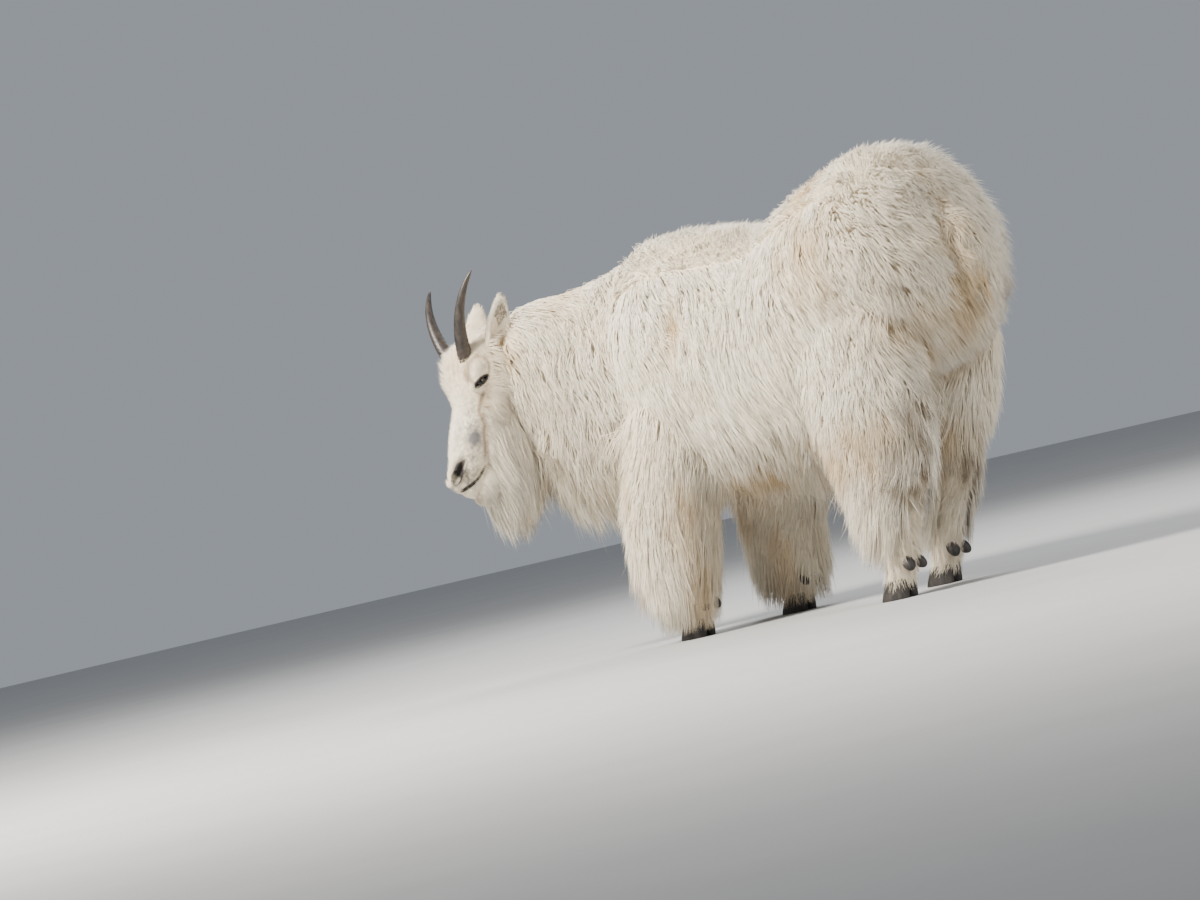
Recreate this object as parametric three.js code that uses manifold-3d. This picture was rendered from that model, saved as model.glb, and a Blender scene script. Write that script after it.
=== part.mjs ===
// A life-size mountain goat in its long winter coat, standing with its head low and turned to its left.
// Millimetres. It is built facing +X, its left side towards +Y and its soles on Z = 0. The exported group
// is then turned to face -X and centred over the origin.
import * as THREE from "three";
import { mergeVertices } from "three/addons/utils/BufferGeometryUtils.js";
import Module from "manifold-3d";

const wasm = await Module();
wasm.setup();
const { Manifold, Mesh: SolidMesh } = wasm;

// Driving dimensions
const GAP = 0.3; // clear space between neighbouring pieces
const LOCK_GAP = 0.8; // clear space between the locks of two pieces
const CORE_SHARE = 0.5; // how far the core under the locks reaches from the skin, at 0, to their tips, at 1
const SIMPLIFY = 0.12; // the largest change of shape when needless vertices are dropped
const LOCK_SUNK = 20; // how deep a lock's root sits in the core
const EYE_MIDPOINT = [729, 357, 681];
const HEAD_YAW = THREE.MathUtils.degToRad(77);
const HEAD_PITCH = THREE.MathUtils.degToRad(62);
const HEAD_ROLL = THREE.MathUtils.degToRad(8);
const EYE_RADIUS = 17;
const EYE_HALF_SPACING = 56;
const HORN_ARC = 236;
const HORN_BASE_RADIUS = 16.5;
const EAR_LENGTH = 138;
const HOOF_LENGTH = 74;
const HOOF_WIDTH = 34;
const HOOF_HEIGHT = 44;
const FEET = {
  fore_left: { x: 385, y: 150, fore: true },
  fore_right: { x: 335, y: -145, fore: true },
  hind_left: { x: -242, y: 142, fore: false },
  hind_right: { x: -140, y: -128, fore: false },
};

const UP = new THREE.Vector3(0, 0, 1);
const FORWARD = new THREE.Vector3(1, 0, 0);
const SIDES = { left: 1, right: -1 };

const v3 = (x, y, z) => new THREE.Vector3(x, y, z);
const signedPower = (value, power) => Math.sign(value) * Math.abs(value) ** power;
const mix = (a, b, share) => a.map((row, i) => row.map((n, k) => n + (b[i][k] - n) * share));

// A closed three.js geometry as a solid, turned right side out.
function solidOf(geometry) {
  const bare = new THREE.BufferGeometry().setIndex(geometry.index);
  bare.setAttribute("position", geometry.getAttribute("position"));
  const merged = mergeVertices(bare, 1e-4);
  const triVerts = new Uint32Array(merged.index.array);
  const vertProperties = merged.attributes.position.array;
  const made = new Manifold(new SolidMesh({ numProp: 3, vertProperties, triVerts }));
  if (made.volume() > 0) return made;
  for (let i = 0; i < triVerts.length; i += 3) {
    [triVerts[i + 1], triVerts[i + 2]] = [triVerts[i + 2], triVerts[i + 1]];
  }
  return new Manifold(new SolidMesh({ numProp: 3, vertProperties, triVerts }));
}

// Moves every vertex of a geometry to where place() puts it.
function warped(geometry, place) {
  const position = geometry.getAttribute("position");
  for (let i = 0; i < position.count; i++) {
    const p = place(new THREE.Vector3().fromBufferAttribute(position, i));
    position.setXYZ(i, p.x, p.y, p.z);
  }
  return geometry;
}

// A seeded draw of numbers from 0 up to 1, the same on every run.
let seed = 20;
function random() {
  seed = (seed + 0x6d2b79f5) | 0;
  let mixed = Math.imul(seed ^ (seed >>> 15), 1 | seed);
  mixed = (mixed + Math.imul(mixed ^ (mixed >>> 7), 61 | mixed)) ^ mixed;
  return ((mixed ^ (mixed >>> 14)) >>> 0) / 4294967296;
}
const jitter = (size) => (random() - 0.5) * 2 * size;

// The largest closed surface of a solid as a geometry, so nothing loose and no sealed hollow is left.
function largestSurface(solid) {
  const mesh = solid.getMesh();
  const owner = Array.from({ length: mesh.numVert }, (_, i) => i);
  const find = (i) => {
    while (owner[i] !== i) i = owner[i] = owner[owner[i]];
    return i;
  };
  const corners = Array.from(mesh.triVerts);
  for (let i = 0; i < corners.length; i += 3) {
    owner[find(corners[i])] = find(corners[i + 1]);
    owner[find(corners[i + 2])] = find(corners[i + 1]);
  }
  const surfaces = new Map();
  for (let i = 0; i < corners.length; i += 3) {
    const key = find(corners[i]);
    if (!surfaces.has(key)) surfaces.set(key, []);
    surfaces.get(key).push(...corners.slice(i, i + 3));
  }
  const most = [...surfaces.values()].sort((a, b) => b.length - a.length)[0];
  const used = new Map([...new Set(most)].map((vertex, i) => [vertex, i]));
  const places = [...used.keys()].flatMap((v) => Array.from(mesh.vertProperties.slice(3 * v, 3 * v + 3)));
  return new THREE.BufferGeometry()
    .setAttribute("position", new THREE.BufferAttribute(new Float32Array(places), 3))
    .setIndex(most.map((vertex) => used.get(vertex)));
}

// A rounded limb along a smooth path. Each size is [half width, reach to the top, reach to the bottom].
class Limb {
  constructor({ path, sizes, top, squareness = 2.3, caps = [20, 20], sides = 20, rings = 16 }) {
    this.line = new THREE.CatmullRomCurve3(path.map((p) => v3(...p)));
    this.sizes = new THREE.CatmullRomCurve3(sizes.map((s) => v3(...s)));
    Object.assign(this, { top, squareness, caps, sides, rings });
  }

  frame(t) {
    const centre = this.line.getPoint(t);
    const ahead = this.line.getTangent(t);
    const left = this.top.clone().cross(ahead).normalize();
    const up = ahead.clone().cross(left).normalize();
    return { centre, ahead, left, up, size: this.sizes.getPoint(t) };
  }

  // The surface point at share t of the path and at an angle counted from the left side over the top.
  point(t, angle, grow = 0) {
    const { centre, left, up, size } = this.frame(t);
    const power = 2 / this.squareness;
    const across = signedPower(Math.cos(angle), power) * (size.x + grow);
    const rise = signedPower(Math.sin(angle), power) * ((Math.sin(angle) > 0 ? size.y : size.z) + grow);
    return centre.addScaledVector(left, across).addScaledVector(up, rise);
  }

  solid(grow = 0) {
    const { sides, rings, caps } = this;
    const ball = new THREE.SphereGeometry(1, sides, rings);
    const rowOf = (p) => Math.round((Math.acos(THREE.MathUtils.clamp(p.y, -1, 1)) / Math.PI) * rings);
    return solidOf(
      warped(ball, (p) => {
        const row = rowOf(p);
        if (row > 0 && row < rings) return this.point((row - 1) / (rings - 2), Math.atan2(p.z, p.x), grow);
        const end = row ? 1 : 0;
        const { centre, ahead } = this.frame(end);
        return centre.addScaledVector(ahead, (end ? 1 : -1) * (caps[end] + grow));
      }),
    );
  }
}

// A limb given at its skin and again at the tips of its coat, and any share of the way between them.
class CoatedLimb {
  constructor({ path, skin, tips, tipPath = path, skinCaps, tipCaps, ...rest }) {
    Object.assign(this, { path, skin, tips, tipPath, skinCaps, tipCaps, rest });
  }

  at(share) {
    return new Limb({
      ...this.rest,
      path: mix(this.path, this.tipPath, share),
      sizes: mix(this.skin, this.tips, share),
      caps: mix([this.skinCaps], [this.tipCaps], share)[0],
    });
  }
}

// A flat lock of hair that tapers to its tip along a bent line. Its width lies across that line.
function lockSolid({ line, out, width, depth }, grow) {
  const [sides, rows, tipGrow, edgeGrow] = [3, 3, 8, 5];
  const [fullness, bluntness] = [1.25, 0.6];
  const curve = new THREE.CatmullRomCurve3(line);
  const across = line.at(-1).clone().sub(line[0]).cross(out).normalize();
  return solidOf(
    warped(new THREE.ConeGeometry(1, 1, sides, rows), (p) => {
      const share = p.y + 0.5;
      const centre = curve.getPoint(share);
      const ahead = curve.getTangent(share);
      const radius = Math.hypot(p.x, p.z);
      if (radius < 1e-6) return centre.addScaledVector(ahead, share > 0.5 ? grow * tipGrow : -grow);
      const rise = across.clone().cross(ahead).normalize();
      const taper = Math.min(1, fullness * (1 - share) ** bluntness);
      return centre
        .addScaledVector(across, (p.x / radius) * (width * taper + edgeGrow * grow))
        .addScaledVector(rise, (p.z / radius) * depth * taper + Math.sign(p.z) * grow);
    }),
  );
}

// The line of a lock on a coated limb, from its root in the core to its tip at the tips of the coat.
// A place on the limb is [share of the path, degrees from the left side over the top].
function lockOn(limb, root, tip, width, depth, reach = 0) {
  const [sunkShare, lowShare, midShare] = [-0.12, 0.16, 0.55];
  const [lowRise, midLift] = [4, 0.6];
  const core = limb.at(CORE_SHARE);
  const tips = limb.at(1);
  const between = (share) => root.map((n, i) => n + (tip[i] - n) * share);
  const at = (form, [t, degrees], grow) =>
    form.point(THREE.MathUtils.clamp(t, 0, 1), THREE.MathUtils.degToRad(degrees), grow);
  const out = at(core, root, 0).sub(core.frame(THREE.MathUtils.clamp(root[0], 0, 1)).centre).normalize();
  const sunk = at(core, between(sunkShare), -LOCK_SUNK);
  const low = at(core, between(lowShare), lowRise);
  const middle = at(core, between(midShare), 0).lerp(at(tips, between(midShare), 0), midLift);
  return { line: [sunk, low, middle, at(tips, tip, reach)], out, width, depth };
}

// Tiers of locks along both sides of a limb. Each tier is given for the left side, in degrees, and mirrored.
function tieredLocks(limb, tiers) {
  const [placeSpread, tipSpread, widthSpread] = [0.18, 0.015, 0.14];
  const locks = [];
  for (const { count, from, to, root, tip, drift, width, depth, mirrored = true } of tiers) {
    for (const right of mirrored ? [false, true] : [false]) {
      for (let i = 0; i < count; i++) {
        const t = from + ((to - from) * (i + 0.5)) / count + jitter((placeSpread * (to - from)) / count);
        const turn = (degrees) => (right ? 180 - degrees : degrees);
        const start = [t, turn(root + jitter(4))];
        const end = [t + drift + jitter(tipSpread), turn(tip + jitter(5))];
        const stretch = 1 + jitter(widthSpread);
        locks.push(lockOn(limb, start, end, width * stretch, depth, jitter(6)));
      }
    }
  }
  return locks;
}

// Locks round a limb that hangs down: rings of them, each ring a share of the path, its tips further down.
function ringedLocks(limb, rings) {
  const [shareSpread, turnSpread, widthSpread, reachSpread] = [0.02, 8, 0.12, 4];
  const locks = [];
  for (const { count, root, tip, width, depth, reach = 0, phase = 0 } of rings) {
    for (let i = 0; i < count; i++) {
      const degrees = (360 * (i + phase)) / count + jitter(turnSpread);
      const start = [root + jitter(shareSpread), degrees];
      const end = [tip + jitter(shareSpread), degrees + jitter(turnSpread)];
      const stretch = 1 + jitter(widthSpread);
      locks.push(lockOn(limb, start, end, width * stretch, depth, reach + jitter(reachSpread)));
    }
  }
  return locks;
}

// Locks that hang down the back of the rump on both sides of the tail.
function rumpLocks() {
  const places = [
    { root: [-472, 62, 868], length: 190 },
    { root: [-462, 138, 800], length: 190 },
    { root: [-486, 84, 708], length: 180 },
  ];
  const locks = [];
  for (const side of Object.values(SIDES)) {
    for (const { root, length } of places) {
      const [x, y, z] = root;
      const [deep, drop] = [46, jitter(10)];
      const line = [
        v3(x + deep, side * y, z + 16),
        v3(x - 2, side * (y + 2), z - 40),
        v3(x - 18, side * (y + 6), z - 110),
        v3(x - 12, side * (y + 10), z - length + drop),
      ];
      locks.push({ line, out: v3(-1, 0, 0.2).normalize(), width: 56, depth: 16 });
    }
  }
  return locks;
}

const fused = (locks, grow) => Manifold.union(locks.map((lock) => lockSolid(lock, grow)));

// The head's own frame: ahead to the nose, left, and up through the forehead.
const NOSEWARD = v3(
  Math.cos(HEAD_PITCH) * Math.cos(HEAD_YAW),
  Math.cos(HEAD_PITCH) * Math.sin(HEAD_YAW),
  -Math.sin(HEAD_PITCH),
);
const HEAD_LEFT = v3(-Math.sin(HEAD_YAW), Math.cos(HEAD_YAW), 0).applyAxisAngle(NOSEWARD, HEAD_ROLL);
const HEAD_TOP = NOSEWARD.clone().cross(HEAD_LEFT);
const NOSE_LEVEL = v3(Math.cos(HEAD_YAW), Math.sin(HEAD_YAW), 0);
const headTurn = new THREE.Matrix4().makeBasis(NOSEWARD, HEAD_LEFT, HEAD_TOP);
const headWay = (ahead, left, up) => v3(ahead, left, up).transformDirection(headTurn);
const inHead = (ahead, left, up) => v3(ahead, left, up).applyMatrix4(headTurn).add(v3(...EYE_MIDPOINT));

// An ellipsoid set in the head's frame, with an optional turn about the head's own axes.
function headBall(centre, radii, turn = [0, 0, 0], detail = [9, 6]) {
  const place = headTurn
    .clone()
    .multiply(new THREE.Matrix4().makeRotationFromEuler(new THREE.Euler(...turn)))
    .scale(v3(...radii))
    .setPosition(inHead(...centre));
  return solidOf(new THREE.SphereGeometry(1, ...detail).applyMatrix4(place));
}
const grown = (radii, grow) => radii.map((r) => r + grow);

const torso = new CoatedLimb({
  top: UP,
  sides: 16,
  rings: 12,
  skinCaps: [18, 45],
  tipCaps: [38, 40],
  path: [
    [-462, 0, 700],
    [-425, 0, 695],
    [-365, 0, 692],
    [-290, 0, 698],
    [-200, 0, 688],
    [-90, 0, 655],
    [40, 0, 640],
    [170, 0, 640],
    [290, 0, 645],
    [390, 0, 640],
    [470, 0, 620],
  ],
  skin: [
    [60, 60, 60],
    [112, 130, 115],
    [172, 205, 175],
    [200, 243, 200],
    [210, 243, 215],
    [210, 215, 205],
    [212, 205, 215],
    [210, 222, 225],
    [196, 235, 235],
    [168, 215, 225],
    [115, 140, 160],
  ],
  tips: [
    [182, 228, 135],
    [236, 284, 165],
    [258, 303, 200],
    [264, 302, 235],
    [262, 266, 300],
    [262, 243, 370],
    [262, 252, 378],
    [258, 272, 375],
    [246, 285, 345],
    [218, 288, 320],
    [165, 238, 270],
  ],
});

const neck = new CoatedLimb({
  top: UP,
  sides: 14,
  rings: 8,
  skinCaps: [10, 30],
  tipCaps: [10, 22],
  path: [
    [330, -5, 655],
    [430, 10, 668],
    [520, 62, 680],
    [598, 132, 695],
    [655, 205, 708],
    [690, 258, 708],
  ],
  skin: [
    [140, 190, 190],
    [145, 205, 215],
    [128, 170, 195],
    [112, 130, 170],
    [98, 108, 140],
    [78, 84, 100],
  ],
  tips: [
    [190, 250, 300],
    [195, 245, 350],
    [172, 204, 395],
    [150, 164, 395],
    [132, 142, 300],
    [108, 114, 190],
  ],
});

const tail = new CoatedLimb({
  top: FORWARD,
  sides: 8,
  rings: 7,
  skinCaps: [10, 8],
  tipCaps: [10, 12],
  path: [
    [-430, 0, 812],
    [-484, 0, 790],
    [-514, 2, 745],
    [-524, 4, 690],
    [-518, 6, 635],
  ],
  skin: [
    [30, 24, 24],
    [32, 22, 22],
    [32, 18, 18],
    [24, 14, 14],
    [12, 8, 8],
  ],
  tips: [
    [42, 36, 36],
    [46, 34, 34],
    [50, 30, 30],
    [40, 24, 24],
    [16, 12, 12],
  ],
});

const skull = new Limb({
  top: HEAD_TOP,
  squareness: 2.25,
  sides: 16,
  rings: 14,
  caps: [18, 10],
  path: [
    [-118, -14],
    [-85, -14],
    [-45, -16],
    [0, -20],
    [38, -26],
    [72, -30],
    [112, -31],
    [152, -30],
    [190, -26],
    [220, -21],
    [242, -19],
  ].map(([ahead, up]) => inHead(ahead, 0, up).toArray()),
  sizes: [
    [46, 44, 42],
    [66, 70, 72],
    [76, 86, 84],
    [72, 80, 88],
    [60, 66, 84],
    [51, 57, 78],
    [44, 52, 70],
    [40, 47, 60],
    [38, 42, 50],
    [33, 34, 40],
    [23, 20, 27],
  ],
});

// The beard hangs from the jaw and throat.
const beard = new CoatedLimb({
  top: NOSE_LEVEL,
  sides: 10,
  rings: 7,
  skinCaps: [10, 10],
  tipCaps: [10, 18],
  path: [
    [716, 318, 668],
    [716, 322, 635],
    [717, 325, 600],
    [718, 327, 570],
    [719, 329, 545],
    [720, 330, 528],
  ],
  skin: [
    [46, 40, 50],
    [48, 60, 70],
    [46, 75, 80],
    [40, 75, 72],
    [30, 60, 56],
    [16, 36, 36],
  ],
  tipPath: [
    [716, 318, 668],
    [716, 322, 605],
    [718, 322, 525],
    [712, 312, 445],
    [715, 316, 378],
    [719, 321, 320],
  ],
  tips: [
    [50, 44, 58],
    [56, 80, 92],
    [52, 100, 104],
    [46, 100, 102],
    [34, 74, 76],
    [16, 36, 36],
  ],
});

// The two parts of each leg. The upper part carries the long hair and the lower part wears it short.
function legParts({ x, y, fore }) {
  const side = Math.sign(y);
  const upperLook = { top: FORWARD, sides: 12, rings: 8, skinCaps: [20, 8], tipCaps: [20, 12] };
  const lowerLook = { top: FORWARD, sides: 8, rings: 7, caps: [4, 14] };
  if (fore) {
    const upper = new CoatedLimb({
      ...upperLook,
      path: [
        [x - 75, side * 100, 620],
        [x - 85, side * 135, 500],
        [x - 45, y, 380],
        [x - 18, y, 290],
        [x - 8, y, 232],
      ],
      skin: [
        [70, 90, 90],
        [72, 88, 92],
        [62, 72, 76],
        [50, 56, 60],
        [42, 44, 46],
      ],
      tipPath: [
        [x - 60, side * 125, 600],
        [x - 50, side * 150, 470],
        [x - 10, side * 160, 330],
        [x + 12, side * 162, 190],
        [x + 18, side * 162, 96],
      ],
      tips: [
        [85, 110, 110],
        [100, 124, 116],
        [104, 138, 116],
        [98, 130, 114],
        [80, 116, 100],
      ],
    });
    const lower = new Limb({
      ...lowerLook,
      path: [
        [x - 8, y, 236],
        [x - 6, y, 215],
        [x - 10, y, 160],
        [x - 14, y, 105],
        [x - 8, y, 62],
        [x, y, 40],
      ],
      sizes: [
        [40, 42, 44],
        [39, 41, 42],
        [34, 36, 36],
        [37, 37, 40],
        [35, 34, 36],
        [34, 32, 32],
      ],
    });
    return { upper, lower };
  }
  const upper = new CoatedLimb({
    ...upperLook,
    path: [
      [-290, side * 110, 720],
      [-262, side * 140, 590],
      [-268, side * 150, 470],
      [x - 62, y, 375],
      [x - 86, y, 310],
      [x - 86, y, 275],
    ],
    skin: [
      [80, 130, 130],
      [85, 140, 150],
      [82, 125, 140],
      [62, 84, 90],
      [44, 52, 58],
      [40, 44, 50],
    ],
    tipPath: [
      [-292, side * 130, 700],
      [(x - 320) / 2, side * 142, 590],
      [x - 18, side * 143, 462],
      [x - 2, side * 143, 335],
      [x + 2, side * 143, 240],
      [x + 10, side * 142, 156],
    ],
    tips: [
      [100, 155, 160],
      [108, 168, 168],
      [106, 164, 164],
      [90, 136, 168],
      [80, 116, 122],
      [62, 86, 72],
    ],
  });
  const lower = new Limb({
    ...lowerLook,
    path: [
      [x - 92, y, 296],
      [x - 84, y, 268],
      [x - 55, y, 185],
      [x - 28, y, 110],
      [x - 10, y, 64],
      [x, y, 40],
    ],
    sizes: [
      [43, 46, 60],
      [42, 45, 58],
      [36, 38, 42],
      [37, 37, 40],
      [34, 34, 36],
      [33, 32, 32],
    ],
  });
  return { upper, lower };
}

// One toe's horn shoe: flat below, sloping back to a narrower top, with its point turned out a little.
function toe({ x, y }, outward, grow = 0) {
  const [sides, rows] = [12, 2];
  const [topShrink, pointShrink, lean, splay, forward] = [0.24, 0.22, 13, 0.1, 12];
  const shoe = new THREE.CylinderGeometry(1, 1, 1, sides, rows);
  return solidOf(
    warped(shoe, (p) => {
      const height = p.y + 0.5;
      const radius = Math.hypot(p.x, p.z);
      const angle = Math.atan2(p.z, p.x);
      const shrink = radius * (1 - topShrink * height ** 1.5);
      const point = 1 - pointShrink * Math.max(0, Math.cos(angle));
      const ahead = Math.cos(angle) * (HOOF_LENGTH / 2 + grow) * shrink - lean * height;
      const across = Math.sin(angle) * (HOOF_WIDTH / 2 + grow) * shrink * point;
      const z = height > 0 ? height * HOOF_HEIGHT + grow : -grow;
      const apart = outward * (HOOF_WIDTH / 2 + GAP);
      const turned = v3(ahead, across + apart, 0).applyAxisAngle(UP, outward * splay);
      return v3(x + forward + turned.x, y + turned.y, z);
    }),
  );
}

// A dewclaw: a short blunt cone behind the fetlock, its point down and back.
function dewclaw({ x, y, fore }, outward, grow = 0) {
  const [radius, length, height, apart] = [13, 38, 76, 17];
  const behind = fore ? 47 : 55;
  const claw = new THREE.ConeGeometry(radius + grow, length + 2 * grow, 8, 1);
  const aim = v3(-0.62, outward * 0.3, -0.72).normalize();
  claw.applyQuaternion(new THREE.Quaternion().setFromUnitVectors(v3(0, 1, 0), aim));
  claw.translate(x - behind, y + outward * apart, height);
  return solidOf(claw);
}

// A horn: round, tapering, curving back, with low growth rings near its root.
function horn(outward, grow = 0) {
  const steps = 14;
  const rows = steps + 2;
  const [lean, curve, splay, ringHeight] = [0.74, 0.95, 0.46, 0.8];
  const [tipRadius, deep, wide] = [2, 1.05, 0.94];
  const path = [inHead(-34, outward * 29, 26)];
  const aims = [];
  for (let i = 0; i <= steps; i++) {
    const angle = lean - curve * (i / steps) ** 1.5;
    aims.push(headWay(-Math.cos(angle), outward * splay, Math.sin(angle)));
    if (i) path.push(path[i - 1].clone().addScaledVector(aims[i], HORN_ARC / steps));
  }
  return solidOf(
    warped(new THREE.SphereGeometry(1, 8, rows), (p) => {
      const row = Math.round((Math.acos(THREE.MathUtils.clamp(p.y, -1, 1)) / Math.PI) * rows);
      if (row === 0) return path[0].clone().addScaledVector(aims[0], -4 - grow);
      if (row === rows) return path[steps].clone().addScaledVector(aims[steps], 3 + grow);
      const i = row - 1;
      const share = i / steps;
      const ring = share < 0.5 && i % 2 ? ringHeight : 0;
      const radius = HORN_BASE_RADIUS * (1 - share) ** 0.6 + tipRadius + ring + grow;
      const up = aims[i].clone().cross(HEAD_LEFT).normalize();
      const angle = Math.atan2(p.z, p.x);
      return path[i]
        .clone()
        .addScaledVector(up, Math.sin(angle) * radius * deep)
        .addScaledVector(HEAD_LEFT, Math.cos(angle) * radius * wide);
    }),
  );
}

// An ear: a leaf-shaped shell with its cup open to the side and front.
function earLeaf(outward, { thinner = 0, shift = 0, start = 0, end = 1, grow = 0 }) {
  const root = inHead(-72, outward * 52, -22);
  const back = headWay(-0.97, outward * 0.14, 0.14);
  const open = headWay(0.1, outward * 0.9, -0.2);
  return new Limb({
    top: open,
    sides: 10,
    rings: 8,
    squareness: 2,
    caps: [4, 6],
    path: [0, 0.18, 0.38, 0.6, 0.82, 1].map((s) =>
      root
        .clone()
        .addScaledVector(back, (EAR_LENGTH + 10) * (start + (end - start) * s) - 10)
        .addScaledVector(open, shift + 4 * Math.sin(Math.PI * s))
        .toArray(),
    ),
    sizes: [
      [17, 15, 15],
      [26, 16, 18],
      [32, 15, 17],
      [31, 12, 14],
      [22, 9, 10],
      [9, 5, 5],
    ].map((s) => s.map((n) => Math.max(n - thinner, 0.8))),
  }).solid(grow);
}
const earCup = (outward) => earLeaf(outward, { thinner: 5, shift: 11, start: 0.22, end: 0.95 });

// The head's outer lumps: skull, forehead tuft, lips, chin, brows and lids.
function headOuter(grow = 0) {
  const lumps = [
    skull.solid(grow),
    headBall([-8, 0, 34], grown([46, 42, 30], grow)),
    headBall([212, 0, -14], grown([30, 35, 27], grow)),
    headBall([236, 0, -46], grown([24, 24, 20], grow), [0, 0.5, 0]),
    headBall([190, 0, -64], grown([60, 25, 28], grow), [0, -0.12, 0]),
    beard.at(CORE_SHARE).solid(grow),
  ];
  for (const side of Object.values(SIDES)) {
    lumps.push(headBall([-26, side * 47, 18], grown([31, 20, 22], grow), [0, 0, side * 0.2]));
    lumps.push(headBall([1, side * 52, 2], grown([27, 22, 20], grow), [0, -0.6, 0]));
  }
  return Manifold.union(lumps);
}

// What is cut into the head: the slits between the lids, the eyes' room, the nostrils and the mouth's line.
function headCuts() {
  const cuts = [];
  for (const side of Object.values(SIDES)) {
    cuts.push(headBall([1, side * 70, 2], [20, 14, 8], [0, -0.6, 0]));
    cuts.push(eyeBall(side, GAP));
    cuts.push(headBall([219, side * 22, -4], [22, 10, 8], [0, -0.3, side * -0.2]));
    cuts.push(headBall([235, side * 28, -40], [24, 15, 2.6], [0, -0.7, 0], [12, 6]));
    cuts.push(headBall([201, side * 34, -60], [24, 14, 2.6], [0, -0.36, 0], [12, 6]));
  }
  return Manifold.union(cuts);
}

function eyeBall(side, grow = 0) {
  const radius = EYE_RADIUS + grow;
  return headBall([0, side * EYE_HALF_SPACING, 0], [radius, radius, radius], [0, 0, 0], [10, 7]);
}

const torsoLocks = [
  ...rumpLocks(),
  ...tieredLocks(torso, [
    { count: 9, from: 0.06, to: 0.98, root: 90, tip: 90, drift: -0.1, width: 50, depth: 11, mirrored: false },
    { count: 7, from: 0.12, to: 0.98, root: 66, tip: 36, drift: -0.03, width: 66, depth: 14 },
    { count: 7, from: 0.1, to: 0.95, root: 38, tip: 7, drift: -0.03, width: 70, depth: 17 },
    { count: 6, from: 0.14, to: 0.9, root: 10, tip: -24, drift: -0.03, width: 72, depth: 18 },
    { count: 5, from: 0.4, to: 0.86, root: -16, tip: -50, drift: -0.02, width: 64, depth: 18 },
    { count: 4, from: 0.42, to: 0.84, root: -40, tip: -72, drift: -0.02, width: 64, depth: 17 },
  ]),
];
const neckLocks = tieredLocks(neck, [
  { count: 3, from: 0.3, to: 1, root: 90, tip: 90, drift: -0.16, width: 48, depth: 11, mirrored: false },
  { count: 3, from: 0.3, to: 1, root: 60, tip: 28, drift: -0.12, width: 60, depth: 14 },
  { count: 4, from: 0.25, to: 1, root: 22, tip: -16, drift: -0.08, width: 56, depth: 16 },
  { count: 4, from: 0.2, to: 0.95, root: -20, tip: -66, drift: -0.06, width: 56, depth: 16 },
  { count: 2, from: 0.4, to: 0.95, root: -80, tip: -90, drift: -0.05, width: 56, depth: 15, mirrored: false },
]);
const tailLocks = ringedLocks(tail, [{ count: 3, root: 0.35, tip: 1, width: 24, depth: 9 }]);
const beardLocks = ringedLocks(beard, [
  { count: 5, root: 0.42, tip: 0.86, width: 36, depth: 12 },
  { count: 5, root: 0.7, tip: 1, width: 30, depth: 11, reach: 2, phase: 0.5 },
]);

// Every piece, owners first. A core is cut clear of the cores before it, and locks are cut clear of every
// other core and of the locks before them.
const pieces = [];
for (const [side, sign] of Object.entries(SIDES)) {
  pieces.push({ name: `eye_${side}`, look: "eye", core: (grow) => eyeBall(sign, grow), within: "head" });
}
pieces.push({ name: "head", look: "face", core: headOuter, cut: headCuts, locks: beardLocks });
for (const [side, sign] of Object.entries(SIDES)) {
  pieces.push({ name: `horn_${side}`, look: "horn", core: (grow) => horn(sign, grow) });
  pieces.push({
    name: `ear_${side}`,
    look: "face",
    core: (grow) => earLeaf(sign, { grow }),
    cut: () => earCup(sign),
  });
}
for (const [name, foot] of Object.entries(FEET)) {
  for (const [which, outward] of Object.entries({ outer: Math.sign(foot.y), inner: -Math.sign(foot.y) })) {
    const place = `${name}_${which}`;
    pieces.push({ name: `hoof_${place}`, look: "hoof", core: (grow) => toe(foot, outward, grow) });
    pieces.push({ name: `dewclaw_${place}`, look: "hoof", core: (grow) => dewclaw(foot, outward, grow) });
  }
}
const legs = Object.entries(FEET).map(([name, foot]) => ({ name, ...legParts(foot), fore: foot.fore }));
for (const { name, lower } of legs) {
  const [pair, side] = name.split("_");
  pieces.push({ name: `${pair}leg_shank_${side}`, look: "coat", core: (grow) => lower.solid(grow) });
}
const coreOf = (limb) => (grow) => limb.at(CORE_SHARE).solid(grow);
pieces.push({ name: "torso", look: "coat", core: coreOf(torso), locks: torsoLocks });
for (const { name, upper, fore } of legs) {
  const side = name.split("_")[1];
  const locks = ringedLocks(upper, [
    { count: 4, root: 0.16, tip: 0.6, width: 68, depth: 16, phase: 0.5 },
    { count: 6, root: 0.42, tip: 0.88, width: 56, depth: 15 },
    { count: 6, root: 0.68, tip: 1, width: 50, depth: 13, phase: 0.5, reach: 4 },
  ]);
  pieces.push({
    name: fore ? `foreleg_upper_${side}` : `hind_thigh_${side}`,
    look: "coat",
    core: coreOf(upper),
    locks,
  });
}
pieces.push({ name: "neck", look: "coat", core: coreOf(neck), locks: neckLocks });
pieces.push({ name: "tail", look: "coat", core: coreOf(tail), locks: tailLocks });

const palette = {
  coat: { color: 0xe9e2d2, roughness: 0.9 },
  face: { color: 0xece7db, roughness: 0.85 },
  horn: { color: 0x2b2724, roughness: 0.45 },
  hoof: { color: 0x1f1c1a, roughness: 0.6 },
  eye: { color: 0x17110c, roughness: 0.1 },
};
const dressed = (look) => new THREE.MeshStandardMaterial({ metalness: 0, ...look });
const materials = Object.fromEntries(Object.entries(palette).map(([name, look]) => [name, dressed(look)]));

const goat = new THREE.Group();
const box = new THREE.Box3();

const meets = (a, b) => {
  const [boxA, boxB] = [a.boundingBox(), b.boundingBox()];
  return boxA.min.every((low, i) => low < boxB.max[i] && boxB.min[i] < boxA.max[i]);
};
const clearOf = (solid, others) =>
  others.filter((other) => meets(solid, other)).reduce((left, other) => left.subtract(other), solid);

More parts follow.
